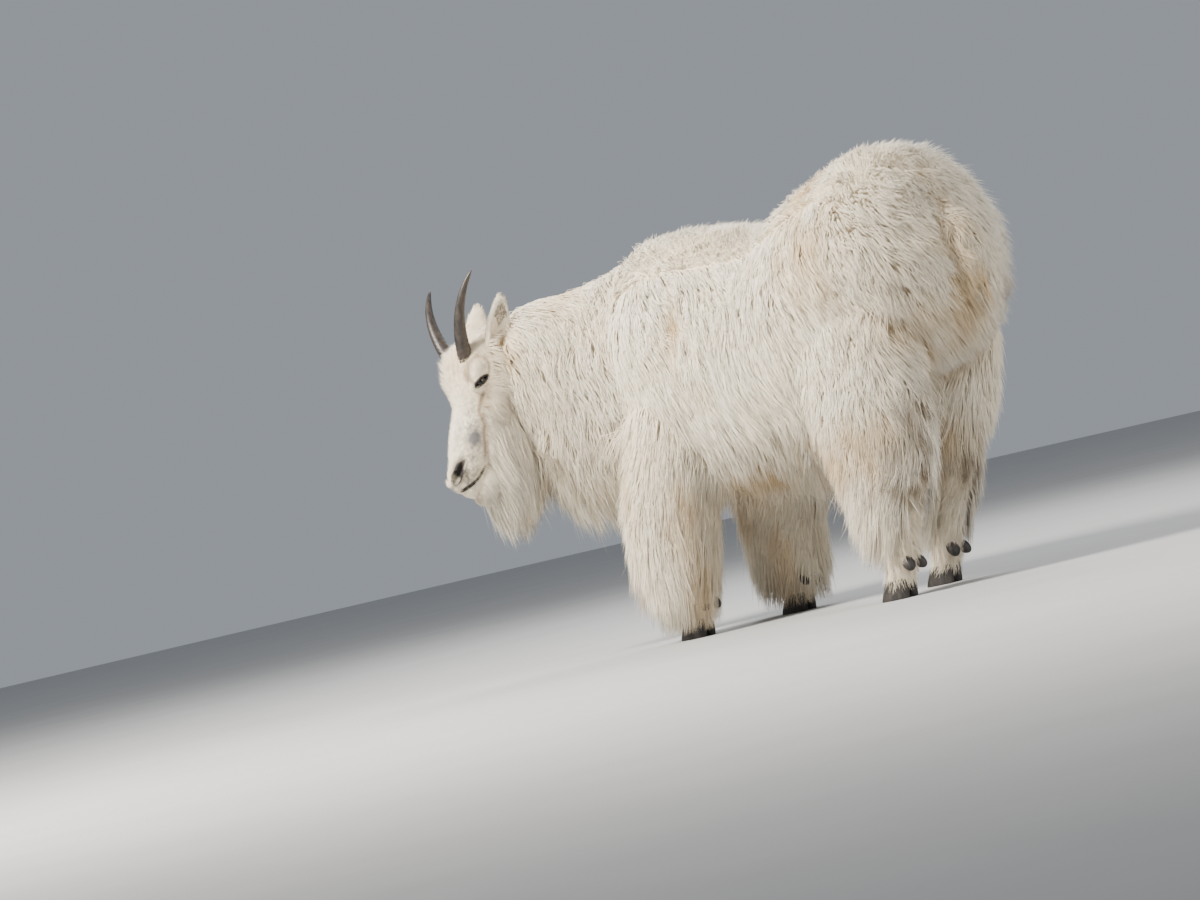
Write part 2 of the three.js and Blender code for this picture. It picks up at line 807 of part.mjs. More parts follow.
for (const piece of pieces) {
  piece.room = piece.core(GAP);
  piece.wideRoom = piece.core(LOCK_GAP);
  if (piece.locks) piece.lockRoom = fused(piece.locks, LOCK_GAP);
}
pieces.forEach((piece, i) => {
  const before = pieces.slice(0, i).filter((other) => other.within !== piece.name);
  let core = piece.core(0);
  if (piece.cut) core = core.subtract(piece.cut());
  let solid = piece.within ? core : clearOf(core, before.map((other) => other.room));
  if (piece.locks) {
    const apart = pieces.filter((other) => other !== piece && other.within !== piece.name);
    const rooms = apart.map((other) => other.wideRoom);
    const lockRooms = before.filter((other) => other.locks).flatMap((other) => [other.lockRoom, other.made]);
    solid = solid.add(clearOf(fused(piece.locks, 0).simplify(LOCK_GAP / 2), [...rooms, ...lockRooms]));
  }
  piece.made = solid.simplify(SIMPLIFY);
  const geometry = largestSurface(piece.made);
  geometry.computeVertexNormals();
  geometry.computeBoundingBox();
  box.union(geometry.boundingBox);
  const made = new THREE.Mesh(geometry, materials[piece.look]);
  made.name = piece.name;
  goat.add(made);
});

const centre = box.getCenter(new THREE.Vector3());
goat.rotation.z = Math.PI;
goat.position.set(centre.x, centre.y, 0);
goat.updateMatrixWorld(true);
export default goat;
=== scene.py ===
"""A life-size mountain goat in its winter coat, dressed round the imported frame.

The goat's own axes are forward, left and up, in metres, with its soles on zero. Each piece is shaped in these
axes and is then turned into the frame's axes, with its object left at the origin.
"""

from __future__ import annotations

import logging
import math
from collections.abc import Iterable
from dataclasses import dataclass, field, replace
from enum import Enum

import bpy
import numpy as np
from mathutils import Euler, Matrix, Vector
from mathutils.bvhtree import BVHTree
from mathutils.kdtree import KDTree

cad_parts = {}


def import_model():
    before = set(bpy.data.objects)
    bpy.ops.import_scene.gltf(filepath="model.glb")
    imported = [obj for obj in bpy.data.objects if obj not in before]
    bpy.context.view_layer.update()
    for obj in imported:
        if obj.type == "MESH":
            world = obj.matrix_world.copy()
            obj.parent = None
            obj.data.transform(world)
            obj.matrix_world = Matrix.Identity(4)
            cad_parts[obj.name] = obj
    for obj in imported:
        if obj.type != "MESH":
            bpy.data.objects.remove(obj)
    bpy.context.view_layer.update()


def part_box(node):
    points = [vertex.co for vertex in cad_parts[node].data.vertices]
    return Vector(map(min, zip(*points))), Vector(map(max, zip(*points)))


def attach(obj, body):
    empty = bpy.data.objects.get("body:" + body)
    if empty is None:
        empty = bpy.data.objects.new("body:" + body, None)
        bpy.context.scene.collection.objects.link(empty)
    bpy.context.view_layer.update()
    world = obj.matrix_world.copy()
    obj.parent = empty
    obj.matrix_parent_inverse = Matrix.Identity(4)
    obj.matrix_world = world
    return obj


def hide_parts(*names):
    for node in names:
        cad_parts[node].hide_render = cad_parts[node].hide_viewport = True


log = logging.getLogger("goat")

MM = 0.001
SEED = 7
Triple = tuple[float, float, float]
Rows = tuple[Triple, ...]
UP: Triple = (0.0, 0.0, 1.0)
FORWARD: Triple = (1.0, 0.0, 0.0)
DOWN = np.array([0.0, 0.0, -1.0])
UNDERCOAT = 0.5  # where the felted undercoat ends, from the bare body, at 0, to the coat's tips, at 1


class Side(Enum):
    """The goat's two sides, with the sign of the left-hand axis."""

    LEFT = 1
    RIGHT = -1

    @property
    def word(self) -> str:
        """The side's name as the frame writes it."""
        return self.name.lower()


class Zone(Enum):
    """A part of the coat. Each zone is one piece of the scene."""

    BACK = "coat_back"
    RUMP = "coat_rump"
    FLANK_LEFT = "coat_flank_left"
    FLANK_RIGHT = "coat_flank_right"
    BELLY = "coat_belly"
    NECK = "coat_neck"
    TAIL = "coat_tail"
    BEARD = "coat_beard"
    FACE = "coat_face"
    CHEEKS = "coat_cheeks"
    EARS = "coat_ears"
    FORE_LEFT = "coat_foreleg_left"
    FORE_RIGHT = "coat_foreleg_right"
    HIND_LEFT = "coat_hindleg_left"
    HIND_RIGHT = "coat_hindleg_right"
    SHANKS = "coat_shanks"


def unit(vectors: np.ndarray) -> np.ndarray:
    """Scales vectors, in rows, to a length of one."""
    return vectors / np.maximum(np.linalg.norm(vectors, axis=-1, keepdims=True), 1e-9)


def through(points: np.ndarray, t: np.ndarray) -> np.ndarray:
    """Reads a smooth line through points.

    Args:
        points: The points, in rows.
        t: Shares of the way, from 0 at the first point to 1 at the last.

    Returns:
        One row for each share.
    """
    spans = len(points) - 1
    way = np.clip(t, 0, 1) * spans
    span = np.minimum(way.astype(int), spans - 1)
    s = (way - span)[:, None]
    ends = np.vstack([2 * points[0] - points[1], points, 2 * points[-1] - points[-2]])
    a, b, c, d = ends[span], ends[span + 1], ends[span + 2], ends[span + 3]
    cubic = (3 * b - a - 3 * c + d) * s**3
    return 0.5 * (2 * b + (c - a) * s + (2 * a - 5 * b + 4 * c - d) * s**2 + cubic)


def smooth_noise(points: np.ndarray, size: float, seed: int) -> np.ndarray:
    """Gives each place a value from -1 to 1 that changes smoothly over a given size.

    Args:
        points: Places in metres, in rows.
        size: The distance over which the value changes, in metres.
        seed: Which pattern to read.

    Returns:
        One value for each place.
    """
    scaled = points / size + 100.0
    cell = np.floor(scaled).astype(np.int64)
    s = scaled - cell
    s = s * s * (3 - 2 * s)
    total = np.zeros(len(points))
    for corner in np.ndindex(2, 2, 2):
        at = cell + np.array(corner)
        mixed = at[:, 0] * 73856093 ^ at[:, 1] * 19349663 ^ at[:, 2] * 83492791 ^ seed * 2654435761
        mixed = (mixed ^ (mixed >> 13)) * 1274126177 & 0xFFFFFFFF
        value = ((mixed ^ (mixed >> 16)) & 0xFFFF) / 32767.5 - 1
        weight = np.prod(np.where(np.array(corner), s, 1 - s), axis=1)
        total += weight * value
    return total


def swelling(points: np.ndarray) -> np.ndarray:
    """How much the coat swells, above 0, or sinks, below 0, in long folds that hang down."""
    hung = points * np.array([1.0, 1.0, 0.55])
    return 0.26 * smooth_noise(hung, 0.10, 21) + 0.14 * smooth_noise(hung, 0.04, 22)


@dataclass(frozen=True)
class HeadFrame:
    """The head's own axes: ahead to the nose, left, and up through the forehead, from between the eyes."""

    centre: Triple = (0.729, 0.357, 0.681)
    yaw: float = math.radians(77)
    pitch: float = math.radians(62)
    roll: float = math.radians(8)

    @property
    def axes(self) -> np.ndarray:
        """The three axes as the columns of a matrix, in the goat's axes."""
        level = math.cos(self.pitch)
        ahead = np.array([level * math.cos(self.yaw), level * math.sin(self.yaw), -math.sin(self.pitch)])
        left = np.array([-math.sin(self.yaw), math.cos(self.yaw), 0.0])
        left = left * math.cos(self.roll) + np.cross(ahead, left) * math.sin(self.roll)
        return np.stack([ahead, left, np.cross(ahead, left)], axis=1)

    @property
    def level_ahead(self) -> Triple:
        """The way the nose points, laid level."""
        return (math.cos(self.yaw), math.sin(self.yaw), 0.0)

    def point(self, ahead: float, left: float, up: float) -> Triple:
        """A place given in millimetres in the head's axes, in the goat's axes."""
        return tuple(np.array(self.centre) + self.axes @ (np.array([ahead, left, up]) * MM))

    def way(self, ahead: float, left: float, up: float) -> Triple:
        """A direction given in the head's axes, in the goat's axes."""
        return tuple(unit(self.axes @ np.array([ahead, left, up])))

    def local(self, points: np.ndarray) -> np.ndarray:
        """Places of the goat in the head's axes, in millimetres."""
        return (points - np.array(self.centre)) @ self.axes / MM

    @staticmethod
    def mouth(shares: np.ndarray) -> np.ndarray:
        """Places along the left half of the mouth, from the front lip to the corner, in the head's axes."""
        return through(np.array([(250.0, 20, -27), (221, 29, -51), (181, 35, -66)]), shares)

    def from_mouth(self, points: np.ndarray) -> np.ndarray:
        """How far places of the goat are from the mouth's line, in millimetres."""
        local = self.local(points)
        local[:, 1] = np.abs(local[:, 1])
        apart = local[:, None] - self.mouth(np.linspace(0, 1, 15))[None]
        return np.linalg.norm(apart * np.array([1, 0.4, 1]), axis=2).min(1)

    @staticmethod
    def crease(ahead: np.ndarray) -> np.ndarray:
        """How high the crease between nose and cheek runs, from the eye to the mouth's corner and chin."""
        stations = (-70, -25, 15, 40, 67, 91, 111, 138, 172, 195, 215, 240)
        heights = (0, -16, -16, -14, -18, -38, -42, -53, -62, -60, -58, -58)
        return np.interp(ahead, stations, heights)

    def long_hair(self, points: np.ndarray) -> np.ndarray:
        """How long the head's hair is at places of the goat, from 0 on the muzzle to 1 on the jaw."""
        local = self.local(points)
        cheek = np.clip((self.crease(local[:, 0]) - local[:, 2]) / 16, 0, 1)
        nape = np.clip((-local[:, 0] - 50) / 40, 0, 1) * np.clip((20 - local[:, 2]) / 30, 0, 1)
        return np.clip(cheek + nape, 0, 1)


HEAD = HeadFrame()


@dataclass(frozen=True)
class Limb:
    """A part of the body along a smooth line, at its skin and again at the tips of its coat.

    Attributes:
        name: What the part is called.
        top: The way that its upper side faces.
        line: The line's points, in millimetres.
        girth: At each point, the half width and the reach to the top and to the bottom.
        tip_line: The same line for the tips of the coat.
        tip_girth: The same sizes for the tips of the coat.
        step: How far apart the balls stand that the part is shaped from, in millimetres.
    """

    name: str
    top: Triple
    line: Rows
    girth: Rows
    tip_line: Rows = ()
    tip_girth: Rows = ()
    step: float = 26.0

    def rows(self, share: float) -> tuple[np.ndarray, np.ndarray]:
        """The line and the sizes, in metres, at a share of the way from the skin to the tips."""
        line, girth = np.array(self.line), np.array(self.girth)
        tip_line = np.array(self.tip_line or self.line)
        tip_girth = np.array(self.tip_girth or self.girth)
        return (line + (tip_line - line) * share) * MM, (girth + (tip_girth - girth) * share) * MM

    def frame(self, t: np.ndarray, share: float = UNDERCOAT) -> tuple[np.ndarray, ...]:
        """Reads the line at shares of its way.

        Args:
            t: Shares of the way along the line.
            share: How far from the skin, at 0, to the tips of the coat, at 1.

        Returns:
            The centres, the ways ahead, left and up, and the sizes.
        """
        line, girth = self.rows(share)
        centre = through(line, t)
        reach = 0.01
        ahead = unit(through(line, t + reach) - through(line, t - reach))
        left = unit(np.cross(np.array(self.top), ahead))
        return centre, ahead, left, np.cross(ahead, left), through(girth, t)

    @property
    def length(self) -> float:
        """The length of the line at the undercoat, in metres."""
        return float(np.linalg.norm(np.diff(self.rows(UNDERCOAT)[0], axis=0), axis=1).sum())

    def shift(self, t: np.ndarray) -> np.ndarray:
        """How far the line for the tips lies from the line for the undercoat."""
        return through(self.rows(1)[0], t) - through(self.rows(UNDERCOAT)[0], t)

    def locate(self, points: np.ndarray) -> tuple[np.ndarray, np.ndarray, np.ndarray]:
        """Finds places on the part.

        Args:
            points: Places in the goat's axes.

        Returns:
            The share of the line, the angle from the left side over the top, and how far out the place
            lies, with 1 for the skin.
        """
        shares = np.linspace(0, 1, 36)
        centre, ahead, left, up, size = self.frame(shares)
        square = (points**2).sum(1)[:, None] - 2 * points @ centre.T + (centre**2).sum(1)[None]
        near = square.argmin(1)
        offset = points - centre[near]
        along = (offset * ahead[near]).sum(1)
        across = (offset * left[near]).sum(1)
        rise = (offset * up[near]).sum(1)
        high = np.where(rise > 0, size[near, 1], size[near, 2])
        beyond = np.where((near == 0) | (near == len(shares) - 1), along / size[near, 0], 0)
        out = np.sqrt((across / size[near, 0]) ** 2 + (rise / high) ** 2 + beyond**2)
        return np.clip(shares[near] + along / self.length, 0, 1), np.arctan2(rise, across), out


@dataclass(frozen=True)
class Foot:
    """Where a foot stands, in millimetres, and which leg it is."""

    name: str
    ahead: float
    left: float

    @property
    def fore(self) -> bool:
        """Whether it is a foreleg's."""
        return self.name.startswith("fore")

    @property
    def side(self) -> int:
        """1 for a left leg and -1 for a right one."""
        return 1 if self.left > 0 else -1


FEET = (
    Foot("fore_left", 385, 150),
    Foot("fore_right", 335, -145),
    Foot("hind_left", -242, 142),
    Foot("hind_right", -140, -128),
)


def torso_limb() -> Limb:
    """The trunk, from the rump to the chest."""
    return Limb(
        name="torso",
        top=UP,
        line=(
            (-462, 0, 700), (-425, 0, 695), (-365, 0, 692), (-290, 0, 698), (-200, 0, 688), (-90, 0, 655),
            (40, 0, 640), (170, 0, 640), (290, 0, 645), (390, 0, 640), (470, 0, 620),
        ),
        girth=(
            (60, 60, 60), (112, 130, 115), (172, 205, 175),
            (200, 243, 200), (210, 243, 215), (210, 215, 205),
            (212, 205, 215), (210, 222, 225), (196, 235, 235), (168, 215, 225), (115, 140, 160),
        ),
        tip_girth=(
            (182, 228, 135), (236, 284, 165), (258, 303, 200),
            (264, 302, 235), (262, 266, 300), (262, 243, 370),
            (262, 252, 378), (258, 272, 375), (246, 285, 345), (218, 288, 320), (165, 238, 270),
        ),
    )


def neck_limb() -> Limb:
    """The neck, bent to the goat's left."""
    return Limb(
        name="neck",
        top=UP,
        line=(
            (330, -5, 655), (430, 10, 668), (520, 62, 680),
            (598, 132, 695), (655, 205, 708), (690, 258, 708),
        ),
        girth=(
            (140, 190, 190), (145, 205, 215), (128, 170, 195),
            (112, 130, 170), (98, 108, 140), (78, 84, 100),
        ),
        tip_girth=(
            (190, 250, 300), (195, 245, 350), (172, 204, 395),
            (150, 164, 395), (132, 142, 300), (108, 114, 190),
        ),
    )


def tail_limb() -> Limb:
    """The short tail."""
    return Limb(
        name="tail",
        top=FORWARD,
        line=((-430, 0, 812), (-484, 0, 790), (-514, 2, 745), (-524, 4, 690), (-518, 6, 635)),
        girth=((30, 24, 24), (32, 22, 22), (32, 18, 18), (24, 14, 14), (12, 8, 8)),
        tip_girth=((42, 36, 36), (46, 34, 34), (50, 30, 30), (40, 24, 24), (16, 12, 12)),
        step=14,
    )


def beard_limb() -> Limb:
    """The soft mass under the jaw that the beard grows from."""
    return Limb(
        name="beard",
        top=HEAD.level_ahead,
        line=(
            (716, 318, 668), (716, 322, 635), (717, 325, 600),
            (718, 327, 570), (719, 329, 545), (720, 330, 528),
        ),
        girth=((46, 44, 54), (50, 72, 84), (48, 92, 94), (42, 92, 88), (32, 70, 66), (18, 40, 40)),
        tip_line=(
            (716, 318, 668), (716, 322, 605), (718, 324, 530),
            (714, 316, 460), (717, 320, 400), (721, 326, 350),
        ),
        tip_girth=((50, 44, 58), (56, 80, 92), (52, 100, 104), (46, 100, 102), (34, 74, 76), (16, 36, 36)),
        step=16,
    )


def skull_limb() -> Limb:
    """The head from its back to the nose."""
    line = (
        (-118, -14), (-85, -14), (-45, -16), (0, -20), (38, -26), (72, -30),
        (112, -31), (152, -30), (190, -26), (220, -21), (242, -19),
    )
    return Limb(
        name="skull",
        top=tuple(HEAD.axes[:, 2]),
        line=tuple(tuple(np.array(HEAD.point(ahead, 0, up)) / MM) for ahead, up in line),
        girth=(
            (46, 44, 42), (66, 70, 72), (76, 86, 84), (72, 80, 88), (60, 66, 84), (51, 57, 78),
            (44, 52, 70), (40, 47, 60), (38, 42, 50), (33, 34, 40), (23, 20, 27),
        ),
        step=9,
    )


def ear_limb(side: Side) -> Limb:
    """One ear, a leaf whose cup opens to the side."""
    length = 148
    root = np.array(HEAD.point(-72, side.value * 52, -22)) / MM
    back = np.array(HEAD.way(-0.97, side.value * 0.14, 0.14))
    opening = np.array(HEAD.way(0.1, side.value * 0.9, -0.2))
    shares = (0, 0.18, 0.38, 0.6, 0.82, 1)
    line = tuple(
        tuple(root + back * (length * s - 10) + opening * 4 * math.sin(math.pi * s)) for s in shares
    )
    return Limb(
        name=f"ear_{side.word}",
        top=tuple(opening),
        line=line,
        girth=((16, 13, 14), (25, 14, 16), (31, 13, 15), (30, 11, 12), (21, 8, 9), (8, 4, 4)),
        step=8,
    )


def leg_limbs(foot: Foot) -> tuple[Limb, Limb]:
    """The two parts of a leg.

    Args:
        foot: Which leg.

    Returns:
        The upper part, with its long hair, and the lower part.
    """
    x, y, side = foot.ahead, foot.left, foot.side
    if foot.fore:
        upper = Limb(
            name=f"{foot.name}_upper",
            top=FORWARD,
            line=(
                (x - 75, side * 100, 620), (x - 85, side * 135, 500), (x - 45, y, 380), (x - 18, y, 290),
                (x - 8, y, 232),
            ),
            girth=((70, 90, 90), (72, 88, 92), (62, 72, 76), (50, 56, 60), (42, 44, 46)),
            tip_line=(
                (x - 60, side * 125, 600), (x - 50, side * 150, 470), (x - 10, side * 160, 330),
                (x + 12, side * 162, 190), (x + 18, side * 162, 96),
            ),
            tip_girth=((85, 110, 110), (100, 124, 116), (104, 138, 116), (98, 130, 114), (80, 116, 100)),
        )
        lower = Limb(
            name=f"{foot.name}_lower",
            top=FORWARD,
            line=(
                (x - 8, y, 250), (x - 6, y, 215), (x - 10, y, 160), (x - 14, y, 105), (x - 8, y, 62),
                (x, y, 42),
            ),
            girth=((38, 40, 42), (36, 38, 39), (31, 32, 33), (34, 34, 37), (32, 31, 33), (31, 29, 29)),
            step=12,
        )
        return upper, lower
    upper = Limb(
        name=f"{foot.name}_upper",
        top=FORWARD,
        line=(
            (-290, side * 110, 720), (-262, side * 140, 590), (-268, side * 150, 470), (x - 62, y, 375),
            (x - 86, y, 310), (x - 86, y, 275),
        ),
        girth=((80, 130, 130), (85, 140, 150), (82, 125, 140), (62, 84, 90), (44, 52, 58), (40, 44, 50)),
        tip_line=(
            (-292, side * 130, 700), ((x - 320) / 2, side * 142, 590), (x - 18, side * 143, 462),
            (x - 2, side * 143, 335), (x + 2, side * 143, 240), (x + 10, side * 142, 156),
        ),
        tip_girth=(
            (100, 155, 160), (108, 168, 168), (106, 164, 164), (90, 136, 168), (80, 116, 122), (62, 86, 72),
        ),
    )
    lower = Limb(
        name=f"{foot.name}_lower",
        top=FORWARD,
        line=(
            (x - 92, y, 300), (x - 84, y, 268), (x - 55, y, 185),
            (x - 28, y, 110), (x - 10, y, 64), (x, y, 42),
        ),
        girth=((41, 44, 57), (39, 42, 55), (33, 35, 39), (34, 34, 37), (31, 31, 33), (30, 29, 29)),
        step=12,
    )
    return upper, lower


@dataclass(frozen=True)
class RowFrame:
    """Turns the goat's axes into the frame's: it faces -X there, with its left side towards -Y."""

    across: float
    along: float

    @classmethod
    def from_eyes(cls) -> RowFrame:
        """Reads the frame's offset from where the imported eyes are."""
        ends = [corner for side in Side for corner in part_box(f"eye_{side.word}")]
        middle = sum((Vector(corner) for corner in ends), Vector()) / len(ends)
        return cls(middle.x + HEAD.centre[0], middle.y + HEAD.centre[1])

    @property
    def matrix(self) -> Matrix:
        """The turn and shift from the goat's axes."""
        return Matrix.Translation((self.across, self.along, 0)) @ Matrix.Rotation(math.pi, 4, "Z")

    def place(self, point: Triple) -> Vector:
        """One place of the goat in the frame's axes."""
        return self.matrix @ Vector(point)


def only(obj: bpy.types.Object) -> None:
    """Selects one object and nothing else, in object mode."""
    if bpy.context.object and bpy.context.object.mode != "OBJECT":
        bpy.ops.object.mode_set(mode="OBJECT")
    bpy.ops.object.select_all(action="DESELECT")
    obj.select_set(True)
    bpy.context.view_layer.objects.active = obj


def deselect_all() -> None:
    """Leaves nothing selected, in object mode."""
    if bpy.context.object and bpy.context.object.mode != "OBJECT":
        bpy.ops.object.mode_set(mode="OBJECT")
    bpy.ops.object.select_all(action="DESELECT")


def join_all(parts: list[bpy.types.Object], name: str) -> bpy.types.Object:
    """Joins objects into one and applies its place to its mesh."""
    only(parts[0])
    for part in parts:
        part.select_set(True)
    bpy.ops.object.join()
    bpy.ops.object.transform_apply(location=True, rotation=True, scale=True)
    parts[0].name = name
    return parts[0]


def modify(obj: bpy.types.Object, kind: str, **settings: object) -> None:
    """Adds a modifier, sets it and applies it.

    Args:
        obj: The object.
        kind: The modifier's type.
        settings: Its settings.
    """
    only(obj)
    modifier = obj.modifiers.new(kind.title(), kind)
    for name, value in settings.items():
        setattr(modifier, name, value)
    bpy.ops.object.modifier_apply(modifier=modifier.name)


def cut_with(obj: bpy.types.Object, cutter: bpy.types.Object, operation: str = "DIFFERENCE") -> None:
    """Cuts an object with another, or unites them, and removes the other."""
    modify(obj, "BOOLEAN", operation=operation, solver="MANIFOLD", object=cutter)
    bpy.data.objects.remove(cutter)


def add_ball(
    centre: Triple, radii: Triple, axes: np.ndarray, segments: int = 24, rings: int = 14
) -> bpy.types.Object:
    """Adds an ellipsoid.

    Args:
        centre: Its centre in metres.
        radii: Its radii in metres along its axes.
        axes: Its axes as the columns of a matrix.
        segments: Faces round it.
        rings: Faces from pole to pole.

    Returns:
        The new object.
    """
    deselect_all()
    turn = Matrix(axes.tolist()).to_euler()
    bpy.ops.mesh.primitive_uv_sphere_add(
        segments=segments, ring_count=rings, radius=1, location=centre, rotation=turn, scale=radii
    )
    return bpy.context.object


def add_head_ball(
    centre: Triple, radii: Triple, turn: Triple = (0, 0, 0), segments: int = 32, rings: int = 18
) -> bpy.types.Object:
    """Adds an ellipsoid given in millimetres in the head's axes, turned about them."""
    axes = HEAD.axes @ np.array(Euler(turn).to_matrix())
    scale = tuple(r * MM for r in radii)
    return add_ball(HEAD.point(*centre), scale, axes, segments, rings)


def ball_chain(limb: Limb, share: float = UNDERCOAT, thinner: float = 0.0) -> list[bpy.types.Object]:
    """Lays overlapping balls along a limb.

    Args:
        limb: The limb.
        share: How far from the skin, at 0, to the tips of the coat, at 1.
        thinner: What is taken off every size, in metres.

    Returns:
        The balls.
    """
    step = limb.step * MM
    count = max(4, round(limb.length / step))
    t = np.linspace(0, 1, count)
    balls = []
    for s, centre, ahead, left, up, size in zip(t, *limb.frame(t, share)):
        wide, high, low = np.maximum(size - thinner, 0.002)
        middle = centre + up * (high - low) / 2
        cap = min(wide, (high + low) / 2) * 0.35
        reach = min(max(step * 2.2, cap), cap + min(s, 1 - s) * limb.length)
        axes = np.stack([ahead, left, up], axis=1)
        balls.append(add_ball(tuple(middle), (reach, wide, (high + low) / 2), axes))
    return balls


@dataclass
class Markings:
    """The coat's colours by place, which skin and hair share. Colours are linear.

    Attributes:
        white: The clean tips.
        cream: The warm tone in the depth of the coat.
        tan: Painted shade, warm, in the folds where the coat sinks.
        straw: Stained hair under the tail and round the ears, and painted shade in the crease on the left
            thigh.
        soil: Dried soil on the hock.
        slate: Bare skin of the muzzle.
        black: Nostrils, the mouth's line and the rims of the lids; in the nostrils it is their dark skin and
            also painted shade inside the hollows.
        cup: Painted shade in the hollow of an ear.
        fold: Painted shade in the face's creases.
    """

    white: Triple = (0.90, 0.84, 0.71)
    cream: Triple = (0.82, 0.68, 0.47)
    tan: Triple = (0.68, 0.50, 0.28)
    straw: Triple = (0.56, 0.38, 0.17)
    soil: Triple = (0.16, 0.11, 0.07)
    slate: Triple = (0.17, 0.165, 0.165)
    black: Triple = (0.015, 0.012, 0.011)
    cup: Triple = (0.12, 0.085, 0.06)
    fold: Triple = (0.30, 0.22, 0.14)

    @staticmethod
    def near(points: np.ndarray, centre: Triple, reach: Triple | float) -> np.ndarray:
        """A share that falls from 1 at a place to 0 far from it."""
        return np.exp(-(((points - np.array(centre)) / np.array(reach)) ** 2).sum(1))

    @staticmethod
    def blend(base: np.ndarray, colour: Triple, share: np.ndarray) -> np.ndarray:
        """Mixes a colour into rows of colours by a share for each row."""
        return base + (np.array(colour) - base) * np.clip(share, 0, 1)[:, None]

    def coat(self, points: np.ndarray) -> np.ndarray:
        """The coat's colour at places of the goat, with painted shade in the folds where it sinks."""
        colour = np.tile(np.array(self.white), (len(points), 1))
        broad = smooth_noise(points, 0.16, 3)
        fine = smooth_noise(points, 0.045, 4)
        colour = self.blend(colour, self.cream, 0.16 + 0.22 * broad + 0.16 * fine)
        # Painted shade: tan where the coat sinks into its folds, as the swelling also sets the coat's depth.
        colour = self.blend(colour, self.tan, -3.6 * swelling(points) - 0.12)
        patchy = 0.75 + 0.5 * fine
        # Real stains, except the spot at (-0.40, 0.16, 0.60), which is painted shade.
        stains_and_shade = (
            ((-0.51, 0.0, 0.70), (0.10, 0.055, 0.14), 0.85),
            ((-0.47, 0.07, 0.60), (0.09, 0.07, 0.16), 0.55),
            # Painted shade in the crease on the left thigh.
            ((-0.40, 0.16, 0.60), (0.05, 0.06, 0.05), 0.55),
            ((-0.36, 0.20, 0.40), (0.07, 0.08, 0.05), 0.5),
            (HEAD.point(-90, 62, -32), 0.04, 1.1),
            (HEAD.point(-90, -62, -32), 0.04, 1.1),
            ((0.1, 0.0, 0.32), (0.35, 0.20, 0.07), 0.35),
        )
        for centre, reach, share in stains_and_shade:
            colour = self.blend(colour, self.straw, share * patchy * self.near(points, centre, reach))
        spotted = np.clip(0.35 + 1.3 * smooth_noise(points, 0.018, 6), 0, 1)
        for centre in ((-0.38, 0.15, 0.27), (-0.30, -0.13, 0.27), (-0.43, 0.14, 0.40)):
            dirt = self.near(points, centre, (0.07, 0.08, 0.09)) * spotted
            colour = self.blend(colour, self.soil, dirt * 1.2)
        return colour

    def face(self, points: np.ndarray, colour: np.ndarray) -> np.ndarray:
        """Adds the face's dark places to rows of colours, with painted shade in its creases and inside the
        nostrils.
        """
        local = HEAD.local(points)
        local[:, 1] = np.abs(local[:, 1])
        speckle = np.clip(0.5 + 1.2 * smooth_noise(points, 0.005, 9), 0, 1.3)
        shaded = (
            (self.slate, 1.7, (127, 40, -22), (19, 30, 14)),
            (self.slate, 0.7 * speckle, (150, 42, -20), (75, 24, 30)),
            (self.slate, 0.9 * speckle, (220, 34, -28), (34, 24, 22)),
            (self.slate, 0.6 * speckle, (95, 36, 0), (45, 18, 20)),
            (self.slate, 0.7 * speckle, (240, 8, -8), (14, 14, 14)),
            # The nostrils: their dark skin, and painted shade over the inside of their hollows.
            (self.black, 2.6, (214, 24, -5), (27, 15, 11)),
            (self.black, 1.3, (246, 0, -16), (7, 4, 12)),
        )
        for tone, share, centre, reach in shaded:
            colour = self.blend(colour, tone, share * self.near(local, centre, reach))
        # Painted shade along the creases in front of the cheek and over the eye.
        return self.blend(colour, self.fold, self.folds(local))

    @staticmethod
    def folds(local: np.ndarray) -> np.ndarray:
        """Where shade is painted into the face's creases: in front of the cheek, and round the brow over the
        eye.
        """
        ahead = local[:, 0]
        low = np.abs(local[:, 2] - HeadFrame.crease(ahead) - 2)
        cheek = np.exp(-((low / 4.5) ** 2)) * np.clip((ahead - 18) / 10, 0, 1)
        cheek = cheek * np.clip((176 - ahead) / 20, 0, 1)
        brow = np.hypot((ahead + 22) / 34, (local[:, 2] - 13) / 24)
        arc = np.exp(-(((brow - 1) / 0.17) ** 2)) * np.clip((local[:, 1] - 34) / 8, 0, 1)
        return 1.1 * cheek + 0.9 * arc

    def skin(self, points: np.ndarray) -> np.ndarray:
        """The skin's colour: the coat's, warmer, with the face's dark places, lids and mouth, and painted
        shade in the ears' hollows.
        """
        colour = self.blend(self.coat(points), self.cream, np.full(len(points), 0.35))
        colour = self.face(points, colour)
        local = HEAD.local(points)
        local[:, 1] = np.abs(local[:, 1])
        slant = np.array(Euler((0, -0.6, 0)).to_matrix())
        lid = (local - np.array([1, 70, 2])) @ slant / np.array([23, 16, 9])
        colour = self.blend(colour, self.black, 4.0 * (1.22 - np.linalg.norm(lid, axis=1)))
        colour = self.blend(colour, self.black, (6.5 - HEAD.from_mouth(points)) / 2.5)
        # Painted shade in the hollow of each ear.
        for side in Side:
            angle, out = ear_limb(side).locate(points)[1:]
            inside = (out < 0.85) & (np.sin(angle) > 0.25)
            colour = self.blend(colour, self.cup, 0.85 * inside)
        return colour


